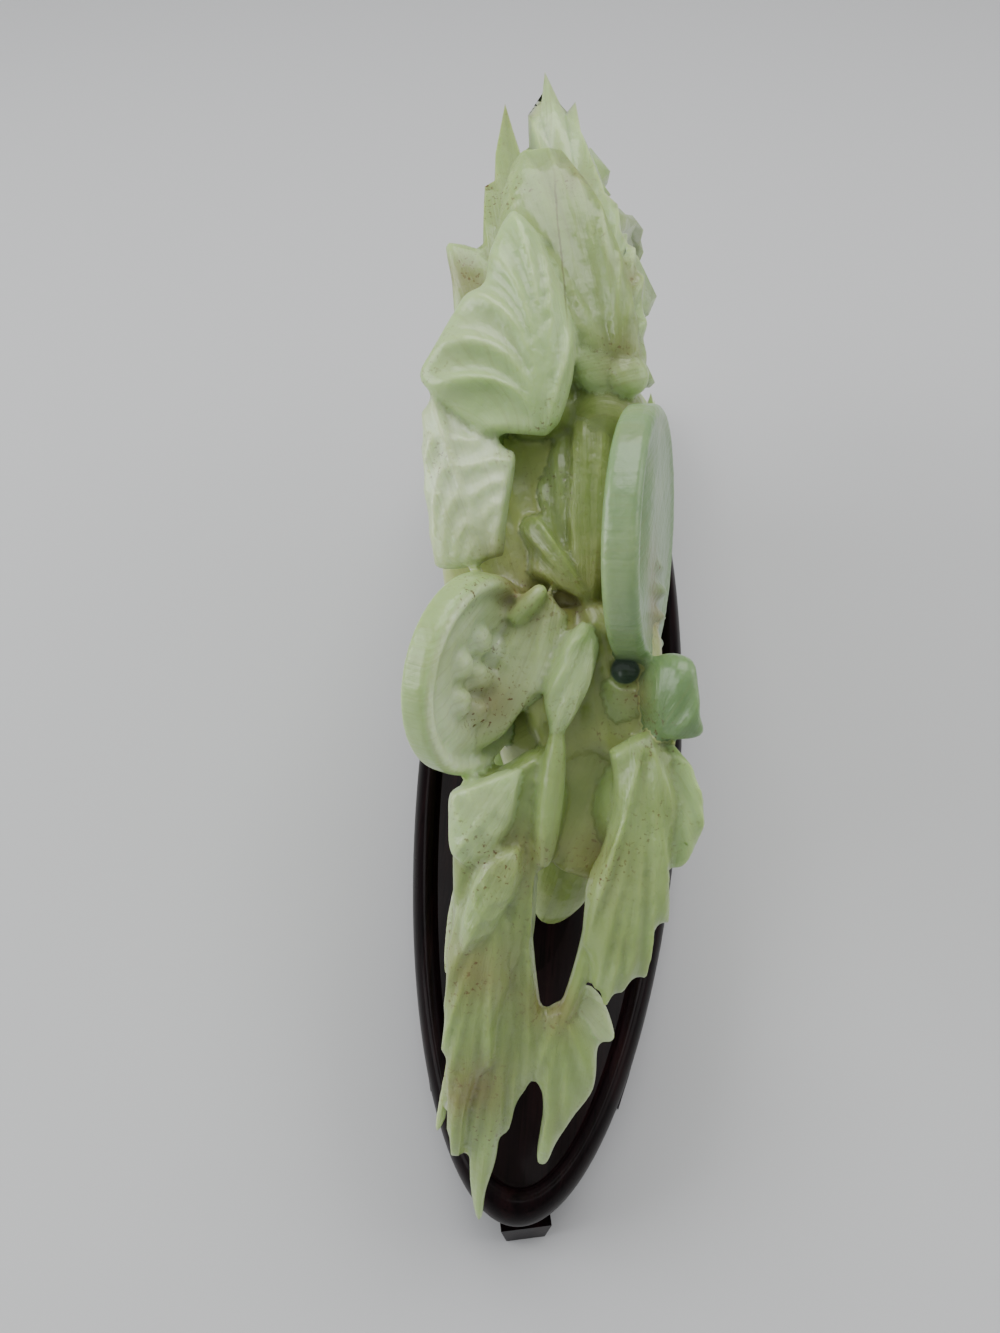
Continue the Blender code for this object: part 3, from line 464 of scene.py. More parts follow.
def fan(name, sink, base, rim, faces, thick, bulge=2.0, bow=(0, 0, 0), ribs=8, depth=0.5, sharp=1, teeth=0, bite=0.1,
        relief=None, rows=30, columns=56, tint=MINT, clear=0.3):
    """A leaf that spreads like a fan: lines run from its base to a smooth rim curve, both drawn on the slope.

    At s out from the base and a across, the sheet is base + (rim(a) - base) s + 4 s (1 - s) a (1 - a^8) bow,
    swelling towards the side that it faces by bulge sin(pi s), with ribs |cos(pi ribs a)|^sharp that grow outwards,
    or the relief given. Hollows between pointed teeth bite the rim back. It thins to nothing at the rim."""
    base, rim, forward, bow = on_slope(base, sink), on_slope(rim, sink), unit(faces), np.array(bow, float)
    step = np.linspace(0, len(rim) - 1, columns)
    k = np.clip(step.astype(int), 0, len(rim) - 2)
    f = (step - k)[:, None]
    before, after = rim[np.maximum(k - 1, 0)], rim[np.minimum(k + 2, len(rim) - 1)]
    start, stop = rim[k], rim[k + 1]
    curve = 0.5 * (2 * start + (stop - before) * f + (2 * before - 5 * start + 4 * stop - after) * f ** 2
                   + (3 * start - before - 3 * stop + after) * f ** 3)
    s, a = np.meshgrid(np.linspace(0, 1, rows), np.linspace(0, 1, columns), indexing="ij")
    reach = 1 - bite * np.sin(np.pi * np.mod(teeth * a, 1.0)) * s ** 4 if teeth else 1.0
    sheet = base + (curve[None] - base) * (s * reach)[..., None] + bow * (4 * s * (1 - s) * a * (1 - a ** 8))[..., None]
    fade = np.sqrt(s) * (1 - s ** 10)
    ridge = relief(s, a) if relief else depth * (np.abs(np.cos(np.pi * ribs * a)) ** sharp - 0.4)
    swell = bulge * np.sin(np.pi * s * 0.8) * np.sin(np.pi * a) ** 0.6
    sheet = sheet + forward * swell[..., None]
    half = thick / 2 * np.sqrt(np.clip(1 - np.abs(2 * a - 1) ** 10, 0, 1)) * np.sqrt(np.clip(1 - s ** 12, 0, 1))
    half = half * np.minimum(1, s * 5) ** 0.5
    front = sheet + forward * (half + ridge * fade * np.minimum(1, half))[..., None]
    back = sheet - forward * half[..., None]
    index = np.arange(rows * columns).reshape(rows, columns)
    quads = np.stack([index[:-1, :-1], index[1:, :-1], index[1:, 1:], index[:-1, 1:]], axis=-1).reshape(-1, 4)
    skin = quads.tolist() + (quads[:, ::-1] + rows * columns).tolist()
    length = np.linalg.norm(curve - base, axis=1)[None]
    grain = np.stack([s * length, (a - 0.5) * 30 * s], axis=-1).reshape(-1, 2)
    margin = np.clip(s ** 8 + np.abs(2 * a - 1) ** 12, 0, 1).ravel() * clear * 2
    add_shell(name, np.concatenate([front.reshape(-1, 3), back.reshape(-1, 3)]), skin,
              np.concatenate([grain, grain]), tint, np.clip(np.concatenate([margin, margin]), 0, 1))


# The heart of the stone: low rocks, trunks that rise from them, and the mass that they carry.
def skyline(y):
    return 132 - 0.0055 * y * y


for i in range(7):
    rock_y, rock_height = -60 + 20 * i, 27 + 8 * np.sin(2.3 * i)
    lump(f"rock_{i}", (3 * np.sin(2.1 * i), rock_y, rock_height / 2 - 2.5), (27, 34, rock_height), along=40, around=90,
         tint=0.7, furrow=1.0)
for i in range(6):
    heart_y = -60 + 28 * i
    top, low = skyline(heart_y), 50 + 9 * np.sin(1.9 * i)
    lump(f"heart_{i}", (-2 + 2.5 * np.sin(1.9 * i), heart_y, (top + low) / 2), (20, 52, top - low), along=60, around=140,
         tint=0.62, furrow=1.6)
for i in range(8):
    trunk_y, lean = -64 + 20 * i, 6 * np.sin(2.4 * i)
    blade(f"trunk_{i}", (lean, trunk_y - 4, 8), (-lean, trunk_y + 3, 40), (lean / 2, trunk_y + lean, 84), (1, 0, 0),
          12 + 3 * np.sin(3 * i), 11, blunt=0.35, tint=OLIVE, clear=0, relief=flutes(5, 0.5, 0.2))

# The crown: a nearly clear ribbed leaf with a bitten edge behind a smooth one, and two spikes at the left.
blade("crown_stone", (-2, -44, 130), (-3, -24, 149), (-11, -4, 153), (0, -0.5, 0.85), 17, 8, belly=0.45, blunt=0.5,
      tint=LEAF, clear=0)
lump("crown_bank", (-5, -10, 128), (13, 60, 42), tint=LEAF)
lump("crown_left", (-12, -16, 148), (9, 22, 12), tint=LEAF)
fan("ribbed_leaf", 3, (4.5, 94.5),
    [(11.5, 94.5), (12, 87.5), (11, 79), (9, 74), (5.5, 64.5), (2.5, 57.5), (-0.5, 49.5), (-3.5, 39.5),
     (-10, 31.5), (-12, 43), (-12, 55)],
    (0.1, -0.5, 0.85), 3.2, bulge=1.0, ribs=10, depth=2.0, sharp=3, teeth=10, bite=0.11, rows=56, columns=170, tint=0.2, clear=0.4)
fan("smooth_leaf", 1, (6, 95),
    [(11, 94), (9, 84.5), (6, 76), (2, 66.5), (-3, 58), (-8, 54), (-12.5, 56.5), (-14, 67),
     (-14, 78.5), (-13, 89)],
    (0.1, -0.5, 0.85), 4.5, bulge=2.4, ribs=9, depth=1.1, sharp=5, rows=56, columns=150, tint=0.5, clear=0.12)
fan("left_spike", 2.5, (-9.5, 87),
    [(-13, 91), (-16.5, 77), (-17.5, 63), (-16, 62.5), (-16.5, 55), (-16, 42), (-13, 50), (-11.5, 57),
     (-10, 71)],
    (-0.2, -0.5, 0.85), 4.5, bulge=1.0, ribs=3, depth=-0.4, sharp=4, rows=44, columns=90, tint=LEAF, clear=0.15)
fan("left_bract", 3, (-14.5, 87.5),
    [(-20.5, 90.5), (-21.5, 82.5), (-23, 76), (-20.5, 75.5), (-18.5, 76), (-16, 77), (-13.5, 79),
     (-11.5, 83.5)],
    (-0.2, -0.5, 0.85), 5.5, bulge=1.0, ribs=2, depth=-0.4, sharp=4, rows=36, columns=70, tint=PALE, clear=0.15)

# The hood: a lotus leaf that spreads like a fan from its base, with folds that run together there.
lump("hood_stone", (-13, -39, 133), (16, 20, 15), tint=MINT)
lump("hood_back", (-6, -32, 138), (16, 18, 16), tint=MINT)
fan("folded_leaf", -2, (-3.5, 109),
    [(-1.5, 106.5), (0, 99.5), (0, 92.5), (-2.5, 85), (-5.5, 78.5), (-8, 74), (-11.5, 71), (-13.5, 74),
     (-15, 79), (-15.5, 84), (-18.5, 86.5), (-21, 91), (-23, 95.5), (-25, 100), (-23, 103),
     (-18.5, 106), (-14, 109)],
    (-0.15, -0.65, 0.75), 5, bulge=2.5, bow=(4.5, 6, 5), ribs=8, depth=2.0, sharp=4, rows=56, columns=190, tint=0.2, clear=0.2)
blade("hood_neck", (-4, -56, 128), (-7, -48, 134), (-6, -36, 126), (0, -0.6, 0.8), 15, 12, blunt=0.4, tint=OLIVE, clear=0)
dish("round_bud", (5.8, -46.5, 138), (0.2, -0.6, 0.75), 6.6, 5, square=0.8, along=32, around=48, tint=0.4)
dish("bud_scroll", (9.5, -50, 137), (0.3, -0.6, 0.7), 3.4, 4, square=0.9, dip=0.3, tint=MINT, along=16, around=28)
lump("bud_stone", (6, -49, 128), (14, 16, 15), tint=OLIVE)
fan("veined_leaf", 0, (-11, 129.5),
    [(-9, 129), (-9, 122), (-8.5, 116.5), (-8.5, 111.5), (-11.5, 109.5), (-15, 108), (-19, 105.5),
     (-23, 102.5), (-24.5, 105.5), (-24, 112), (-23, 119), (-21.5, 126.5), (-20, 131.5),
     (-15.5, 131.5)],
    (-0.15, -0.65, 0.75), 4, bulge=1.2, relief=side_veins(0.54, 5, 1.6), teeth=13, bite=0.04, rows=56, columns=170, tint=-0.04, clear=0.4)
lump("left_column", (-16.5, -56, 114), (11, 18, 32), along=24, around=32, tint=MINT)
blade("hood_stalk", (-8, -74, 98), (-15, -64, 112), (-14, -50, 130), (-1, 0, 0), 12, 9, blunt=0.35, tint=LEAF, clear=0)


# The pods: the left one shows its seeds, each in its own ring, inside a rolled rim. The right one is flat,
# with an olive hollow in its face and a beaded column beside it.
def seed_face(r, turn):
    """A rolled rim at r = 0.9 and six seeds, each a small dome in a shallow ring, round the middle."""
    x, y = r * np.cos(turn), r * np.sin(turn)
    height = 0.9 * np.exp(-((r - 0.9) / 0.05) ** 2) - 0.7 * np.exp(-((r - 0.78) / 0.06) ** 2)
    for k in range(7):
        angle = TAU * k / 6
        reach = 0.0 if k == 6 else 0.36
        away = np.hypot(x - reach * np.cos(angle), (y - reach * np.sin(angle)) * 0.8) / 0.12
        height = height + 1.1 * np.exp(-away ** 4) - 1.0 * np.exp(-((away - 1.35) / 0.3) ** 2)
    return height


def beaded_face(r, turn):
    """A low rim, a long hollow towards the low end's side, and a row of beads low on the far side."""
    x, y = r * np.cos(turn), r * np.sin(turn)
    along, across = 0.77 * x + 0.64 * y, -0.64 * x + 0.77 * y
    height = 0.5 * np.exp(-((r - 0.93) / 0.05) ** 2) - 2.2 * np.exp(-((across - 0.5) / 0.17) ** 2 - (along / 0.5) ** 4)
    beads = np.exp(-((across + 0.25) / 0.16) ** 2 - ((along + 0.55) / 0.36) ** 6)
    return height + beads * (1.0 + 1.0 * np.cos(along * 30))


# The left pod's face is given the palest tint of all: painted light for the light that shines through the stone onto a
# face that the carving shades.
dish("left_pod", (-13, -92, 107), (0.89, -0.4, 0.24), 16.5, 5.6, stretch=1.04, dip=0.8, along=80, around=130,
     square=0.22, relief=seed_face, tint=-0.12, wall=0.36, clear=0.05)
lump("pod_back", (-16, -85, 96), (7, 20, 20), along=20, around=24, tint=MINT)
dish("right_pod", (13, -71, 121), (0.96, -0.13, 0.17), 21, 6, dip=0.5, along=72, around=130, square=0.2,
     relief=beaded_face, tint=COOL)
lump("right_pod_back", (10, -66, 110), (9, 22, 26), along=20, around=24, tint=LEAF)
blade("pod_stalk", (-14, -84, 92), (-6, -74, 92), (4, -62, 92), (0, -1, 0), 10, 9, blunt=0.3, tint=OLIVE, clear=0)

# In the hollow between the pods: small veined leaves, a petal, a twig and a thin panel, deep in yellow stone.
# The walls and floor of the hollow are painted lighter yellow: painted light for the light that shines through the
# stone.
fan("upper_wall", 11, (-1, 136.5),
    [(-19.5, 135.5), (-21, 127), (-23, 110.5), (-22, 103), (-13.5, 105.5), (-4, 106.5), (5.5, 100.5),
     (13.5, 106.5), (16, 121.5), (16, 134.5)],
    (0, -0.65, 0.75), 9, bulge=0.5, ribs=9, depth=0.9, sharp=2, rows=40, columns=90, tint=1.08, clear=0.0)
fan("middle_wall", 7.5, (3, 136),
    [(16, 134), (18.5, 144), (19, 157), (16, 166), (9, 161.5), (2, 164.5), (-1, 160.5), (-4, 155),
     (-6, 146), (-7, 138)],
    (0.05, -0.65, 0.75), 9, bulge=0.5, ribs=7, depth=1.0, sharp=2, rows=44, columns=100, tint=0.9, clear=0.0)
lump("hollow_stone", (-2, -48, 108), (26, 18, 28), along=24, around=32, tint=DEEP_LIT_THROUGH)
lump("hollow_floor", (3, -78, 99), (20, 20, 18), along=24, around=32, tint=DEEP_LIT_THROUGH)
fan("hollow_streaks", 7, (6, 138),
    [(2, 132), (1.5, 119), (1, 107), (1.5, 101.5), (4.5, 100), (7.5, 101), (8.5, 113.5), (8.5, 130)],
    (-0.2, -0.65, 0.75), 7, bulge=0.6, ribs=6, depth=1.0, rows=40, columns=80, tint=OLIVE, clear=0.0)
fan("inner_leaf_high", 8.5, (2, 131),
    [(-2.5, 121), (-4.5, 117), (-4, 112.5), (-2, 107.5), (1, 104.5), (1, 110.5), (0.5, 119)],
    (-0.1, -0.65, 0.75), 5.5, bulge=1.2, ribs=4, depth=1.2, sharp=3, rows=40, columns=80, tint=0.7, clear=0.05)
fan("inner_leaf_low", 6.5, (6.5, 136),
    [(1, 133.5), (-4.5, 131), (-5, 127.5), (-7, 123), (-5, 121), (-3.5, 122), (0, 126.5), (3.5, 132)],
    (0, -0.65, 0.75), 5.5, bulge=1.6, ribs=5, depth=1.3, sharp=3, rows=40, columns=80, tint=0.62, clear=0.1)
blade("twig", (-7, -85, 112.5), (-4.3, -82.5, 115), (-2, -80, 116.5), (0, -0.65, 0.75), 3.4, 3.4, blunt=0.25, tint=PALE)
fan("hanging_petal", 1.5, (6, 139.5),
    [(4.5, 138.5), (2, 141.5), (0, 146.5), (-1, 151.5), (0, 156), (1, 158.5), (3, 156.5), (5, 152.5),
     (6.5, 148), (7.5, 142.5)],
    (0.1, -0.65, 0.75), 5, bulge=2.4, ribs=6, depth=1.2, sharp=2, rows=48, columns=110, tint=PALE, clear=0.2)
fan("back_panel", 3.5, (-1.5, 134),
    [(-7, 137), (-8, 142.5), (-10, 151), (-15, 160.5), (-16.5, 165), (-12.5, 162.5), (-7.5, 159),
     (-4.5, 154.5), (-1, 149.5), (0.5, 144), (2, 138)],
    (0, -0.65, 0.75), 3.4, bulge=1.0, ribs=4, depth=0.8, sharp=4, rows=44, columns=90, tint=0.0, clear=0.3)

# The bird clings to the right side, with its grooved wing hanging below it and a bent leaf beside it.
lump("bird_back", (13, -86, 99), (14, 18, 18), along=24, around=32, tint=LEAF)
fan("bird_head", 0, (17, 157),
    [(15, 150), (15.5, 145), (17.5, 143), (21, 143.5), (22, 147.5), (22.5, 151.5), (24, 155),
     (22, 156.5)],
    (0.35, -0.6, 0.7), 7, bulge=3.0, ribs=3, depth=1.0, sharp=2, rows=40, columns=90, tint=1.5, clear=0.1)
dish("bird_eye", (20.5, -93, 109.5), (0.6, -0.55, 0.6), 1.3, 1.4, dip=0.8, along=14, around=24, tint=LEAF)
fan("bird_wing", 0, (15.5, 156),
    [(10, 159.5), (11.5, 168), (10.5, 176.5), (8, 184), (8, 193.5), (10.5, 202), (12.5, 205.5),
     (15, 202.5), (19, 199), (19.5, 190.5), (22, 188.5), (21, 179), (21, 167), (20, 159)],
    (0.25, -0.78, 0.55), 5, bulge=3.0, ribs=11, depth=1.5, sharp=2, teeth=13, bite=0.05, rows=64, columns=180, tint=0.5, clear=0.15)
lump("wing_stone", (14, -101, 84), (12, 18, 24), along=24, around=32, tint=LEAF)
fan("bird_leaf", 1.5, (19, 158.5),
    [(19.5, 157), (22, 160), (24, 164.5), (25, 169), (24.5, 173.5), (22, 178.5), (20.5, 175.5),
     (19.5, 167.5)],
    (0.5, -0.7, 0.5), 5, bulge=2.6, ribs=6, depth=1.0, sharp=3, rows=44, columns=90, tint=MINT, clear=0.15)

# The hollow end: a smooth hollow above the open arch, the strands that frame it, and a leaf inside it.
# Its roof, wall and sill are painted lighter yellow: painted light for the light that shines through the stone.
lump("arch_roof", (3, -88, 86), (24, 24, 26), along=24, around=32, tint=0.9)
fan("cave_wall", 5, (3, 181),
    [(-1, 169), (0, 159.5), (4.5, 155.5), (9.5, 155), (14, 158.5), (16, 166), (15.5, 176), (11.5, 184)],
    (0, -0.75, 0.65), 6, bulge=-2.5, ribs=3, depth=0.3, rows=40, columns=80, tint=0.86, clear=0.0)
fan("left_body", 3.5, (1, 160),
    [(-3, 161), (-7.5, 164.5), (-14, 168.5), (-14.5, 177), (-14, 188), (-13.5, 199.5), (-10, 207.5),
     (-5, 207), (-0.5, 198.5), (0, 190.5), (-0.5, 183), (2.5, 179), (4, 168.5)],
    (-0.1, -0.78, 0.6), 7, bulge=1.5, ribs=10, depth=1.2, sharp=2, rows=52, columns=140, tint=0.55, clear=0.0)
blade("middle_stem", (1.8, -98, 103), (1.3, -106.5, 94), (1, -114, 84), (0, -0.8, 0.5), 4.5, 6, blunt=0.35, tint=LEAF)
blade("arch_left", (-2.5, -110, 84), (-2, -124, 66), (3.5, -133, 53), (0, -0.85, 0.5), 3, 5, blunt=0.3, tint=LEAF)
blade("arch_right", (10, -113, 80), (10.5, -125, 66), (3.5, -133, 53), (0, -0.85, 0.5), 3, 5, blunt=0.3, tint=LEAF)
blade("arch_leaf", (6, -84, 84), (8, -104, 74), (2, -108, 52), (0, -0.9, 0.4), 14, 5, blunt=0.5, along=48, around=32,
      relief=feather(8, 0.4), tint=OLIVE)
lump("arch_sill", (3, -66, 40), (22, 24, 62), tint=DEEP_LIT_THROUGH)

# The long leaves that hang over the low end, laid over each other like feathers, with clear thin tips.
fan("outer_frond", 5, (-12.5, 181),
    [(-14, 186), (-15, 194), (-15, 203.5), (-13.5, 202.5), (-13, 193.5)],
    (-0.3, -0.85, 0.4), 2.8, bulge=0.5, ribs=2, depth=0.3, rows=36, columns=40, tint=CLEAR, clear=0.5)
fan("clear_tip", 3, (-13, 214.5),
    [(-14, 223.5), (-15.5, 237.5), (-14, 235.5), (-13.5, 230.5), (-12.5, 222)],
    (-0.3, -0.85, 0.4), 2.8, bulge=0.5, ribs=2, depth=0.3, rows=32, columns=40, tint=CLEAR, clear=0.5)
fan("third_frond", 2, (-2, 186),
    [(-3, 202.5), (-3, 219), (-3.5, 235), (-2, 235), (-1, 229), (1.5, 222), (1.5, 212), (0, 198.5),
     (-0.5, 189.5)],
    (0.1, -0.9, 0.4), 3.8, bulge=1.0, ribs=5, depth=1.3, sharp=2, rows=64, columns=100, tint=0.5, clear=0.35)
fan("longest_frond", 1, (-4, 201.5),
    [(-6.5, 215), (-9, 226.5), (-9, 238), (-8.5, 248.5), (-7, 256.5), (-6, 256.5), (-5.5, 249.5),
     (-4, 242), (-3.5, 234), (-3, 224.5), (-2, 208.5)],
    (0, -0.9, 0.4), 3.8, bulge=1.2, ribs=5, depth=1.3, sharp=2, rows=72, columns=110, tint=0.5, clear=0.3)
fan("broad_frond", 0, (-6.5, 185.5),
    [(-13.5, 189), (-14.5, 198), (-14.5, 208), (-14.5, 217), (-13.5, 222.5), (-13, 235), (-12, 241.5),
     (-10.5, 242), (-10, 237.5), (-9, 227), (-5.5, 219.5), (-5, 212), (-3.5, 203.5), (-3, 192.5)],
    (-0.15, -0.9, 0.4), 4.5, bulge=2.0, ribs=9, depth=1.5, sharp=2, teeth=13, bite=0.05, rows=72, columns=150, tint=0.55, clear=0.25)
fan("second_leaf", -1, (-3, 177),
    [(-7, 177.5), (-10, 182.5), (-11.5, 189), (-12, 194.5), (-11, 197), (-7.5, 193), (-5, 188.5),
     (-3.5, 185.5), (-2.5, 181.5)],
    (-0.15, -0.8, 0.6), 4.2, bulge=1.8, relief=side_veins(0.45, 5, 1.3), rows=48, columns=110, tint=0.4, clear=0.2)
fan("short_leaf", -0.5, (-3.5, 163.5),
    [(-7.5, 164.5), (-12, 167), (-15, 168.5), (-15, 173.5), (-14.5, 178), (-13, 180), (-11, 180.5),
     (-8, 178.5), (-6, 175.5), (-4.5, 172), (-4, 167.5)],
    (-0.15, -0.75, 0.65), 4.2, bulge=1.8, relief=side_veins(0.45, 4, 1.3), rows=48, columns=120, tint=PALE, clear=0.2)
fan("lower_tip", 3, (7.5, 205.5),
    [(7.5, 211.5), (10, 218), (12.5, 220.5), (13, 214), (15.5, 213), (15, 210), (13, 205.5),
     (10.5, 203)],
    (0.2, -0.9, 0.4), 3.2, bulge=0.8, ribs=4, depth=0.5, sharp=2, rows=44, columns=90, tint=CLEAR, clear=0.5)
fan("lower_leaf", 1.5, (5.5, 206.5),
    [(3, 208.5), (2, 214), (2, 221.5), (3.5, 225), (4, 231.5), (3.5, 240.5), (5, 241.5), (6.5, 237),
     (9, 230.5), (12.5, 223.5), (12.5, 215), (10, 209)],
    (0.1, -0.9, 0.4), 4, bulge=1.5, ribs=7, depth=1.3, sharp=2, rows=60, columns=130, tint=0.48, clear=0.35)


# The broad sides, plainer than the low end: round lotus leaves with spreading veins, pods, buds and stems.
def lotus_veins(count, depth):
    """Grooves that spread from the middle of a round leaf to its rim."""
    def height(r, turn):
        spoke = np.mod(turn * count / TAU, 1.0) - 0.5
        return -depth * np.exp(-(spoke / (0.03 + 0.09 * (1 - r))) ** 2) * np.minimum(1, r * 3)
    return height


for leaf_name, middle, faces, radius, thick, bowl in (
    ("leaf_right_near", (13, -22, 92), (0.97, -0.05, 0.15), 24, 5, 3),
    ("leaf_right_high", (8.5, 22, 99), (0.95, 0.1, 0.2), 18, 5, 3),
    ("leaf_right_far", (13, 66, 78), (0.95, 0.2, 0.2), 21, 5, 3),
    ("leaf_right_low", (9, -44, 42), (0.93, -0.1, 0.3), 15, 5, 2.5),
    ("leaf_right_foot", (9, 56, 38), (0.93, 0.1, 0.3), 14, 5, 2.5),
    ("leaf_left_middle", (-16.5, 0, 98), (-0.93, -0.05, 0.35), 29, 5, 3.5),
    ("leaf_left_low", (-9, -4, 42), (-0.93, -0.1, 0.3), 15, 5, 2.5),
    ("leaf_left_foot", (-9, 76, 40), (-0.93, 0.1, 0.3), 13, 5, 2.5),
    ("leaf_left_far", (-14, 54, 84), (-0.95, 0.15, 0.25), 24, 5, 3),
    ("leaf_top", (-9, 38, 120), (-0.5, 0.2, 0.85), 14, 5, 2.5),
):
    dish(leaf_name, middle, faces, radius, thick, bowl=bowl, waves=5, wave=1.8, around=96, along=32,
         relief=lotus_veins(12, 0.8), tint=MINT)
for pod_name, middle, faces, radius in (
    ("seed_pod_left", (-13, -34, 108), (-0.85, 0, 0.5), 13),
    ("seed_pod_right", (6, 2, 124), (0.7, 0, 0.7), 10),
    ("seed_pod_far", (-6, 82, 104), (-0.7, 0.3, 0.65), 12),
):
    dish(pod_name, middle, faces, radius, 12, dip=2.5, along=40, around=64, relief=seed_face, tint=MINT)
for i in range(10):
    side, stem_y = (1 if i % 2 else -1), -62 + 15 * i
    blade(f"side_stem_{i}", (side * 6, stem_y, 4), (side * 15, stem_y + 9, 44), (side * 7, stem_y - 6, 90),
          (side, 0, 0), 5, 5, blunt=0.3, tint=LEAF, clear=0)
for i in range(6):
    side, bud_y = (1 if i % 2 else -1), -56 + 24 * i
    blade(f"bud_{i}", (side * 5, bud_y, 26), (side * 17, bud_y - 2, 42), (side * 13, bud_y + 4, 54), (side, 0, 0.2),
          11, 9, belly=0.4, relief=flutes(6, 0.5), along=32, around=28, tint=MINT, clear=0.1)
for i in range(10):
    side, low_y = (1 if i % 2 else -1), -70 + 16 * i
    blade(f"side_leaf_{i}", (side * 5, low_y - 8, 8), (side * 18, low_y - 2, 26), (side * 21, low_y + 14, 18),
          (side * 0.8, 0.3, 0.5), 14, 3.4, blunt=0.6, relief=feather(6, 0.5), along=32, around=24, tint=LEAF)


def flower(name, middle, side, petals, size):
    """An open lotus flower: petals at equal turns round a small pod, each a blade that curves outwards."""
    heart, away = np.array(middle, float), np.array([side, 0.0, 0.0])
    for i in range(petals):
        turn = TAU * i / petals
        reach = np.array([side * 0.3, np.cos(turn), np.sin(turn)])
        blade(f"{name}_petal_{i}", heart + reach * size * 0.1, heart + (reach * 0.6 + away * 0.3) * size,
              heart + (reach + away * 0.05) * size, (side, 0, 0.1), size * 0.62, 3.4, belly=0.55, cup=0.2,
              along=28, around=24, relief=flutes(5, 0.35), tint=PALE)
    dish(f"{name}_heart", heart + away * 3, (side, 0, 0.2), size * 0.3, 7, along=32, around=40, relief=seed_face)
    blade(f"{name}_stalk", heart - away * 12, heart - away * 6, heart + away * 3, (0, 0, 1), size * 0.5, size * 0.5,
          blunt=0.3, tint=OLIVE, clear=0)


flower("right_flower", (12, 16, 62), 1, 9, 21)
flower("left_flower", (-12, -44, 66), -1, 9, 21)
flower("left_low_flower", (-11, 34, 44), -1, 8, 16)

# The far end, in keeping with the low end that faces the camera: hanging leaves, and a crest above them.
lump("far_shoulder", (-2, 84, 70), (24, 40, 58), along=60, around=140, tint=0.62, furrow=1.6)
for x in (-7, 5):
    blade(f"far_body_{x}", (x * 0.5, 80, 92), (x, 112, 90), (x, 130, 52), (0, 0.8, 0.5), 17, 10, blunt=0.45, tint=LEAF)
for i in range(9):
    x, drop = -15 + 3.6 * i, 20 + 24 * abs(np.sin(1.9 * i + 0.6))
    reach = 153.5 - 0.75 * (drop - 20)
    blade(f"far_frond_{i}", (x * 0.5, 92, 88), (x * 1.2, reach - 8, 78), (x, reach, drop), (x * 0.02, 0.85, 0.5),
          10.5, 4, teeth=5, bite=0.25, along=48, around=24, relief=flutes(6, 0.5, 0.1), tint=LEAF)
for i in range(5):
    side, crest_y = (1 if i % 2 else -1), 10 + 19 * i
    top = skyline(crest_y)
    blade(f"far_crest_{i}", (side * 2 - 5, crest_y - 20, top - 14), (side * 4 - 5, crest_y + 2, top + 12),
          (side * 3 - 5, crest_y + 17, top - 8), (side * 0.4, 0.2, 1), 13, 5, teeth=4, bite=0.2, along=40, around=28,
          relief=feather(6, 0.5), tint=MINT)

# The foot that stands in the stand's socket: a flat oval, 22 by 156 mm, narrowing a little upwards.
carving_low, carving_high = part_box("jade_carving")
foot_turn = np.linspace(0, TAU, 96, endpoint=False)
foot_rings = np.stack([
    np.stack([22 * share * np.cos(foot_turn), 156 * share * np.sin(foot_turn), np.full(96, level)], axis=-1)
    for share, level in ((0.5, (carving_low.z - FLOOR_Z) / MM), (0.46, 9.0))])
foot_points, foot_faces = skin_rings(foot_rings)
add_shell("carving_foot", foot_points, foot_faces, foot_points[:, [1, 0]], OLIVE, 0.0)


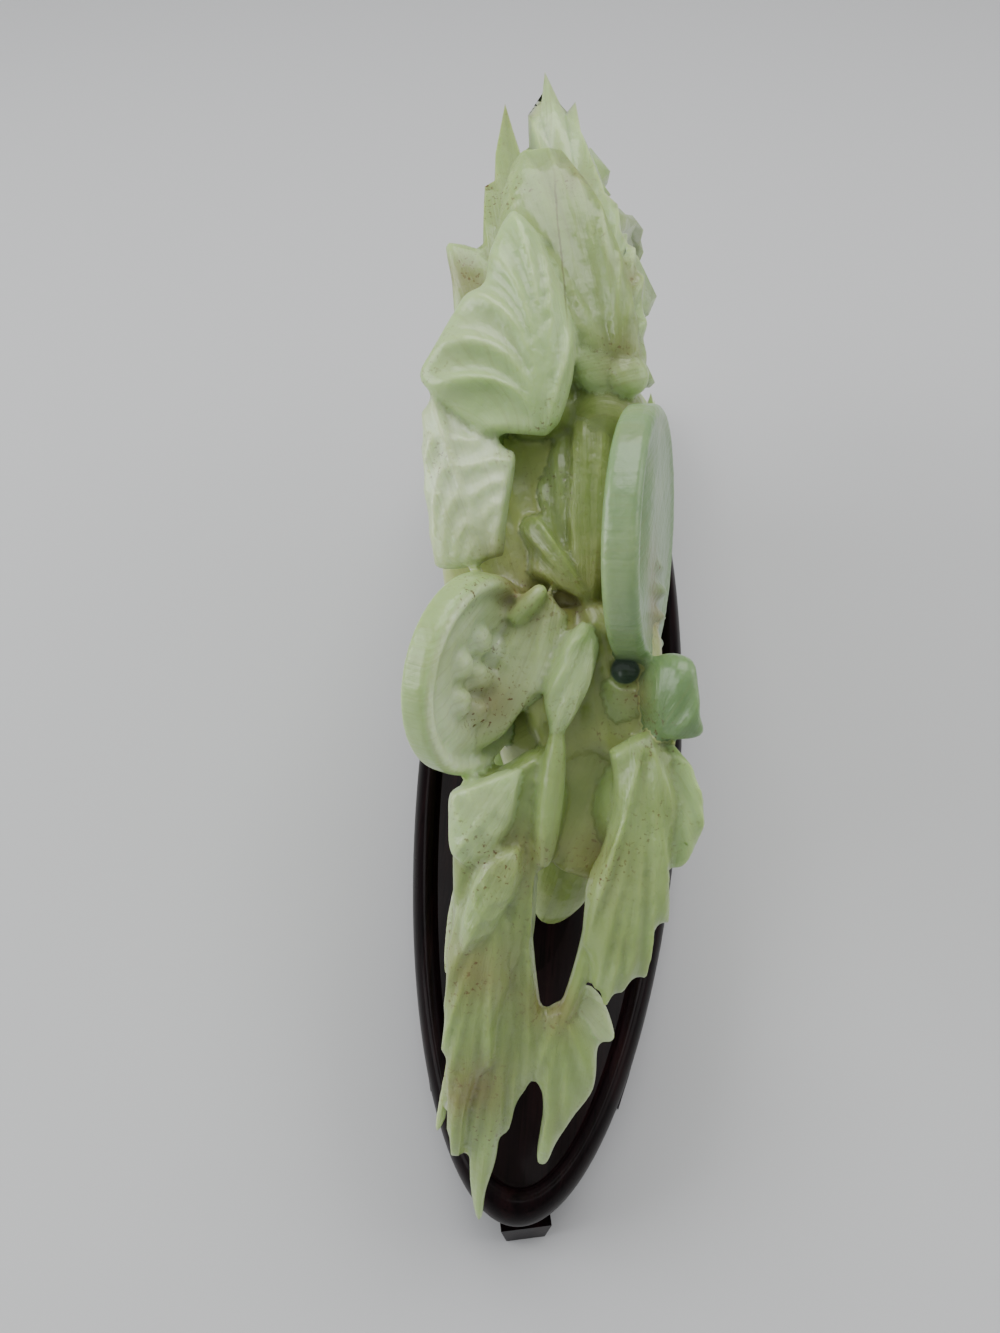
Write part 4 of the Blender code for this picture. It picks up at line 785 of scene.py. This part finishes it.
def jade(pit_middle, pit_radius):
    """Pale green stone: mint where it is thick and lit, yellow-olive deep in the hollows, painted lighter there as
    painted light for the light that shines through the stone, nearly clear at thin edges, with rust-brown specks,
    faint cloudy veils and hairline cracks, under a waxy polish."""
    material, tree, shader = new_material("green jade")
    place = node(tree, "ShaderNodeTexCoord").outputs["Object"]
    carried = node(tree, "ShaderNodeAttribute", attribute_name="stone").outputs["Color"]
    tint, edge, stained = node(tree, "ShaderNodeSeparateColor", [("Color", carried)]).outputs
    grain = node(tree, "ShaderNodeAttribute", attribute_name="grain").outputs["Vector"]
    cloud = node(tree, "ShaderNodeTexNoise", [("Vector", place)], in_Scale=70.0, in_Detail=5.0, in_Roughness=0.55)
    depth = arithmetic(tree, "MULTIPLY_ADD", cloud.outputs["Fac"], 0.5, -0.25)
    depth = arithmetic(tree, "ADD", tint, depth)
    depth = arithmetic(tree, "MULTIPLY_ADD", depth, 0.5, 0.12)
    # Deep tints fall on a lighter yellow-olive than the middle ones: painted light for the light that shines through
    # the stone into the hollows. The palest start is the left pod's face, painted light in the same way.
    body = ramp(tree, depth, [
        (0.00, (0.74, 0.86, 0.58, 1)), (0.12, (0.50, 0.60, 0.31, 1)), (0.24, (0.42, 0.58, 0.24, 1)),
        (0.38, (0.28, 0.38, 0.12, 1)), (0.50, (0.24, 0.31, 0.085, 1)), (0.62, (0.42, 0.48, 0.17, 1)),
        (0.74, (0.48, 0.55, 0.21, 1)), (0.80, (0.17, 0.28, 0.105, 1)), (0.92, (0.17, 0.29, 0.115, 1))])
    pale = arithmetic(tree, "MULTIPLY", edge, 0.3)
    body = blend_colour(tree, pale, body, (0.55, 0.66, 0.38, 1))
    veil = node(tree, "ShaderNodeTexNoise", [("Vector", place)], in_Scale=28.0, in_Detail=3.0, in_Distortion=1.2)
    veils = ramp(tree, veil.outputs["Fac"], [(0.55, (0, 0, 0, 1)), (0.75, (0.35, 0.35, 0.35, 1))])
    body = blend_colour(tree, veils, body, (0.48, 0.60, 0.30, 1))
    patch = node(tree, "ShaderNodeTexNoise", [("Vector", place)], in_Scale=55.0, in_Detail=2.0)
    patches = ramp(tree, patch.outputs["Fac"], [(0.55, (0, 0, 0, 1)), (0.72, (1, 1, 1, 1))])
    speck = node(tree, "ShaderNodeTexNoise", [("Vector", place)], in_Scale=1400.0, in_Detail=2.0)
    specks = ramp(tree, speck.outputs["Fac"], [(0.60, (0, 0, 0, 1)), (0.70, (1, 1, 1, 1))])
    rust = blend_colour(tree, 1.0, specks, patches, "MULTIPLY")
    near_stain = blend_colour(tree, 1.0, specks, stained, "MULTIPLY")
    rust = blend_colour(tree, 1.0, rust, near_stain, "ADD")
    body = blend_colour(tree, rust, body, (0.13, 0.065, 0.018, 1))
    mottle = arithmetic(tree, "MULTIPLY", stained, cloud.outputs["Fac"])
    mottle = arithmetic(tree, "MULTIPLY", mottle, 1.1)
    body = blend_colour(tree, mottle, body, (0.24, 0.18, 0.06, 1))
    drawn_out = node(tree, "ShaderNodeMapping", [("Vector", grain)], in_Scale=(6.0, 170.0, 900.0)).outputs[0]
    streak = node(tree, "ShaderNodeTexNoise", [("Vector", drawn_out)], in_Scale=1.0, in_Detail=3.0)
    streaks = ramp(tree, streak.outputs["Fac"], [(0.54, (0, 0, 0, 1)), (0.74, (0.22, 0.22, 0.22, 1))])
    body = blend_colour(tree, streaks, body, (0.25, 0.23, 0.075, 1))
    sides = node(tree, "ShaderNodeSeparateXYZ", [("Vector", place)]).outputs
    bent = arithmetic(tree, "MULTIPLY_ADD", sides[1], 0.17, 8.4 * MM)
    bent = arithmetic(tree, "MULTIPLY_ADD", cloud.outputs["Fac"], 2.2 * MM, bent)
    crack = arithmetic(tree, "ABSOLUTE", arithmetic(tree, "ADD", sides[0], bent), 0.0)
    crack = ramp(tree, arithmetic(tree, "DIVIDE", crack, 1.0 * MM), [(0.1, (1, 1, 1, 1)), (0.25, (0, 0, 0, 1))])
    near_crack = node(tree, "ShaderNodeVectorMath", [(0, place)], operation="DISTANCE")
    near_crack.inputs[1].default_value = np.array([-2.8, -34, 149]) * MM + np.array([0, 0, FLOOR_Z])
    cracked = ramp(tree, arithmetic(tree, "DIVIDE", near_crack.outputs["Value"], 18 * MM), [
        (0.6, (0.55, 0.55, 0.55, 1)), (0.95, (0, 0, 0, 1))])
    body = blend_colour(tree, blend_colour(tree, 1.0, crack, cracked, "MULTIPLY"), body, (0.14, 0.12, 0.04, 1))
    pit = node(tree, "ShaderNodeVectorMath", [(0, place)], operation="DISTANCE")
    pit.inputs[1].default_value = pit_middle
    inside_pit = ramp(tree, arithmetic(tree, "DIVIDE", pit.outputs["Value"], pit_radius), [
        (0.8, (1, 1, 1, 1)), (0.95, (0, 0, 0, 1))])
    body = blend_colour(tree, inside_pit, body, (0.09, 0.14, 0.095, 1))
    fleck = node(tree, "ShaderNodeVectorMath", [(0, place)], operation="DISTANCE")
    fleck.inputs[1].default_value = np.array([-6.2, -34.5, 150]) * MM + np.array([0, 0, FLOOR_Z])
    dark_fleck = ramp(tree, arithmetic(tree, "DIVIDE", fleck.outputs["Value"], 2.4 * MM), [
        (0.3, (0.7, 0.7, 0.7, 1)), (0.9, (0, 0, 0, 1))])
    body = blend_colour(tree, dark_fleck, body, (0.08, 0.14, 0.07, 1))
    tree.links.new(body, shader.inputs["Base Color"])
    lines = node(tree, "ShaderNodeMapping", [("Vector", grain)], in_Scale=(3.0, 60.0, 900.0)).outputs[0]
    hair = node(tree, "ShaderNodeTexNoise", [("Vector", lines)], in_Scale=1.6, in_Detail=4.0)
    ripple = node(tree, "ShaderNodeTexNoise", [("Vector", place)], in_Scale=240.0, in_Detail=3.0)
    height = arithmetic(tree, "MULTIPLY_ADD", hair.outputs["Fac"], 0.45, 0.0)
    height = arithmetic(tree, "ADD", height, ripple.outputs["Fac"])
    bump = node(tree, "ShaderNodeBump", [("Height", height)], in_Strength=0.45, in_Distance=0.0012)
    tree.links.new(bump.outputs[0], shader.inputs["Normal"])
    rough = arithmetic(tree, "MULTIPLY_ADD", cloud.outputs["Fac"], 0.2, 0.24)
    tree.links.new(rough, shader.inputs["Roughness"])
    shader.inputs["IOR"].default_value = 1.56
    shader.inputs["Subsurface Weight"].default_value = 0.75
    shader.inputs["Subsurface Radius"].default_value = (1.0, 1.15, 0.55)
    shader.inputs["Subsurface Scale"].default_value = 0.0026
    shader.inputs["Specular IOR Level"].default_value = 0.45
    shader.inputs["Coat Weight"].default_value = 0.3
    shader.inputs["Coat Roughness"].default_value = 0.1
    return material


SKIN_GRAIN = 0.5 * MM
CREASE_FILL = 0.45 * MM
MOST_TRIANGLES = 192000


def evaluated_mesh(obj):
    """The object's mesh with its modifiers applied."""
    bpy.context.view_layer.update()
    return bpy.data.meshes.new_from_object(obj.evaluated_get(bpy.context.evaluated_depsgraph_get()))


def keep_largest(mesh):
    """Takes away every part of the mesh that isn't joined to its largest one."""
    edges = np.empty(len(mesh.edges) * 2, np.int64)
    mesh.edges.foreach_get("vertices", edges)
    first, second = edges.reshape(-1, 2).T
    part = np.arange(len(mesh.vertices))
    for step in range(4000):
        before = part.copy()
        np.minimum.at(part, first, part[second])
        np.minimum.at(part, second, part[first])
        part = part[part]
        if np.array_equal(before, part):
            break
    largest = np.bincount(part).argmax()
    shape = bmesh.new()
    shape.from_mesh(mesh)
    shape.verts.ensure_lookup_table()
    loose = [shape.verts[i] for i in np.flatnonzero(part != largest)]
    bmesh.ops.delete(shape, geom=loose, context="VERTS")
    shape.to_mesh(mesh)
    shape.free()


def one_stone(name, shells):
    """Joins closed surfaces into one skin, as a carver's one block: a voxel skin over all of them, swollen
    and shrunk again so that narrow creases fill, a little smoothing, and fewer facets, most of them kept at the low end
    that is finely worked. The colours of the nearest surface are then carried over to it."""
    scene = bpy.context.scene.collection
    joined = bmesh.new()
    for shell in shells:
        joined.from_mesh(shell.data)
    source_mesh = bpy.data.meshes.new("shells")
    joined.to_mesh(source_mesh)
    joined.free()
    source = bpy.data.objects.new("shells", source_mesh)
    scene.objects.link(source)
    for shell in shells:
        bpy.data.objects.remove(shell)

    for step, swell in (("out", CREASE_FILL), ("in", -CREASE_FILL)):
        skin = source.modifiers.new("skin " + step, "REMESH")
        skin.mode = "VOXEL"
        skin.voxel_size = SKIN_GRAIN
        swelling = source.modifiers.new("swell " + step, "DISPLACE")
        swelling.mid_level = 0.0
        swelling.strength = swell
    soften = source.modifiers.new("soften", "SMOOTH")
    soften.factor = 0.5
    soften.iterations = 1
    stone = bpy.data.objects.new(name, evaluated_mesh(source))
    scene.objects.link(stone)
    source.modifiers.clear()

    count = len(stone.data.vertices)
    place = np.empty(count * 3, np.float32)
    stone.data.vertices.foreach_get("co", place)
    y = place.reshape(-1, 3)[:, 1]
    group = stone.vertex_groups.new(name="plain")
    levels = np.round(np.clip((y + 0.055) / 0.04, 0.0, 1.0) * 4).astype(int)
    for level in range(5):
        group.add(np.flatnonzero(levels == level).tolist(), 0.4 + 0.6 * level / 4, "REPLACE")
    fewer = stone.modifiers.new("fewer facets", "DECIMATE")
    fewer.ratio = MOST_TRIANGLES / (2 * len(stone.data.polygons))
    fewer.vertex_group = "plain"
    fewer.vertex_group_factor = 1.0
    carry = stone.modifiers.new("carry colours", "DATA_TRANSFER")
    carry.object = source
    carry.use_vert_data = True
    carry.data_types_verts = {"COLOR_VERTEX"}
    carry.vert_mapping = "POLYINTERP_NEAREST"
    carry.layers_vcol_vert_select_src = "ALL"
    carry.layers_vcol_vert_select_dst = "NAME"
    for layer in ("grain", "stone"):
        stone.data.color_attributes.new(layer, "FLOAT_COLOR", "POINT")
    mesh = evaluated_mesh(stone)
    bpy.data.objects.remove(stone)
    bpy.data.objects.remove(source)
    keep_largest(mesh)
    mesh.name = name
    finished = bpy.data.objects.new(name, mesh)
    scene.objects.link(finished)
    return finished


stone = one_stone("jade_stone", stone_shells)
stone.data.shade_smooth()

# A small grey-green pit beside the bird is pressed into the finished stone, where a line down the slope's
# normal meets it.
PIT_LINE = np.array([12.2, -91.6, 110.4]) * MM + np.array([0, 0, FLOOR_Z])
PIT_RADIUS, PIT_DEPTH = 2.6 * MM, 1.8 * MM
bpy.context.view_layer.update()
found, pit_rim, pit_normal, facet = stone.ray_cast(Vector(PIT_LINE - INWARDS * 0.03), Vector(INWARDS))
corners = np.empty(len(stone.data.vertices) * 3, np.float32)
stone.data.vertices.foreach_get("co", corners)
corners = corners.reshape(-1, 3)
away = np.linalg.norm(corners - np.array(pit_rim), axis=1) / PIT_RADIUS
corners += INWARDS * (PIT_DEPTH * np.exp(-away ** 6))[:, None]
stone.data.vertices.foreach_set("co", corners.ravel())
stone.data.update()
pit_floor = np.array(pit_rim) + INWARDS * PIT_DEPTH * 0.8
stone.data.materials.clear()
stone.data.materials.append(jade(pit_floor, PIT_RADIUS * 1.05))
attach(stone, "root")
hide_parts("jade_carving")

bpy.context.view_layer.update()
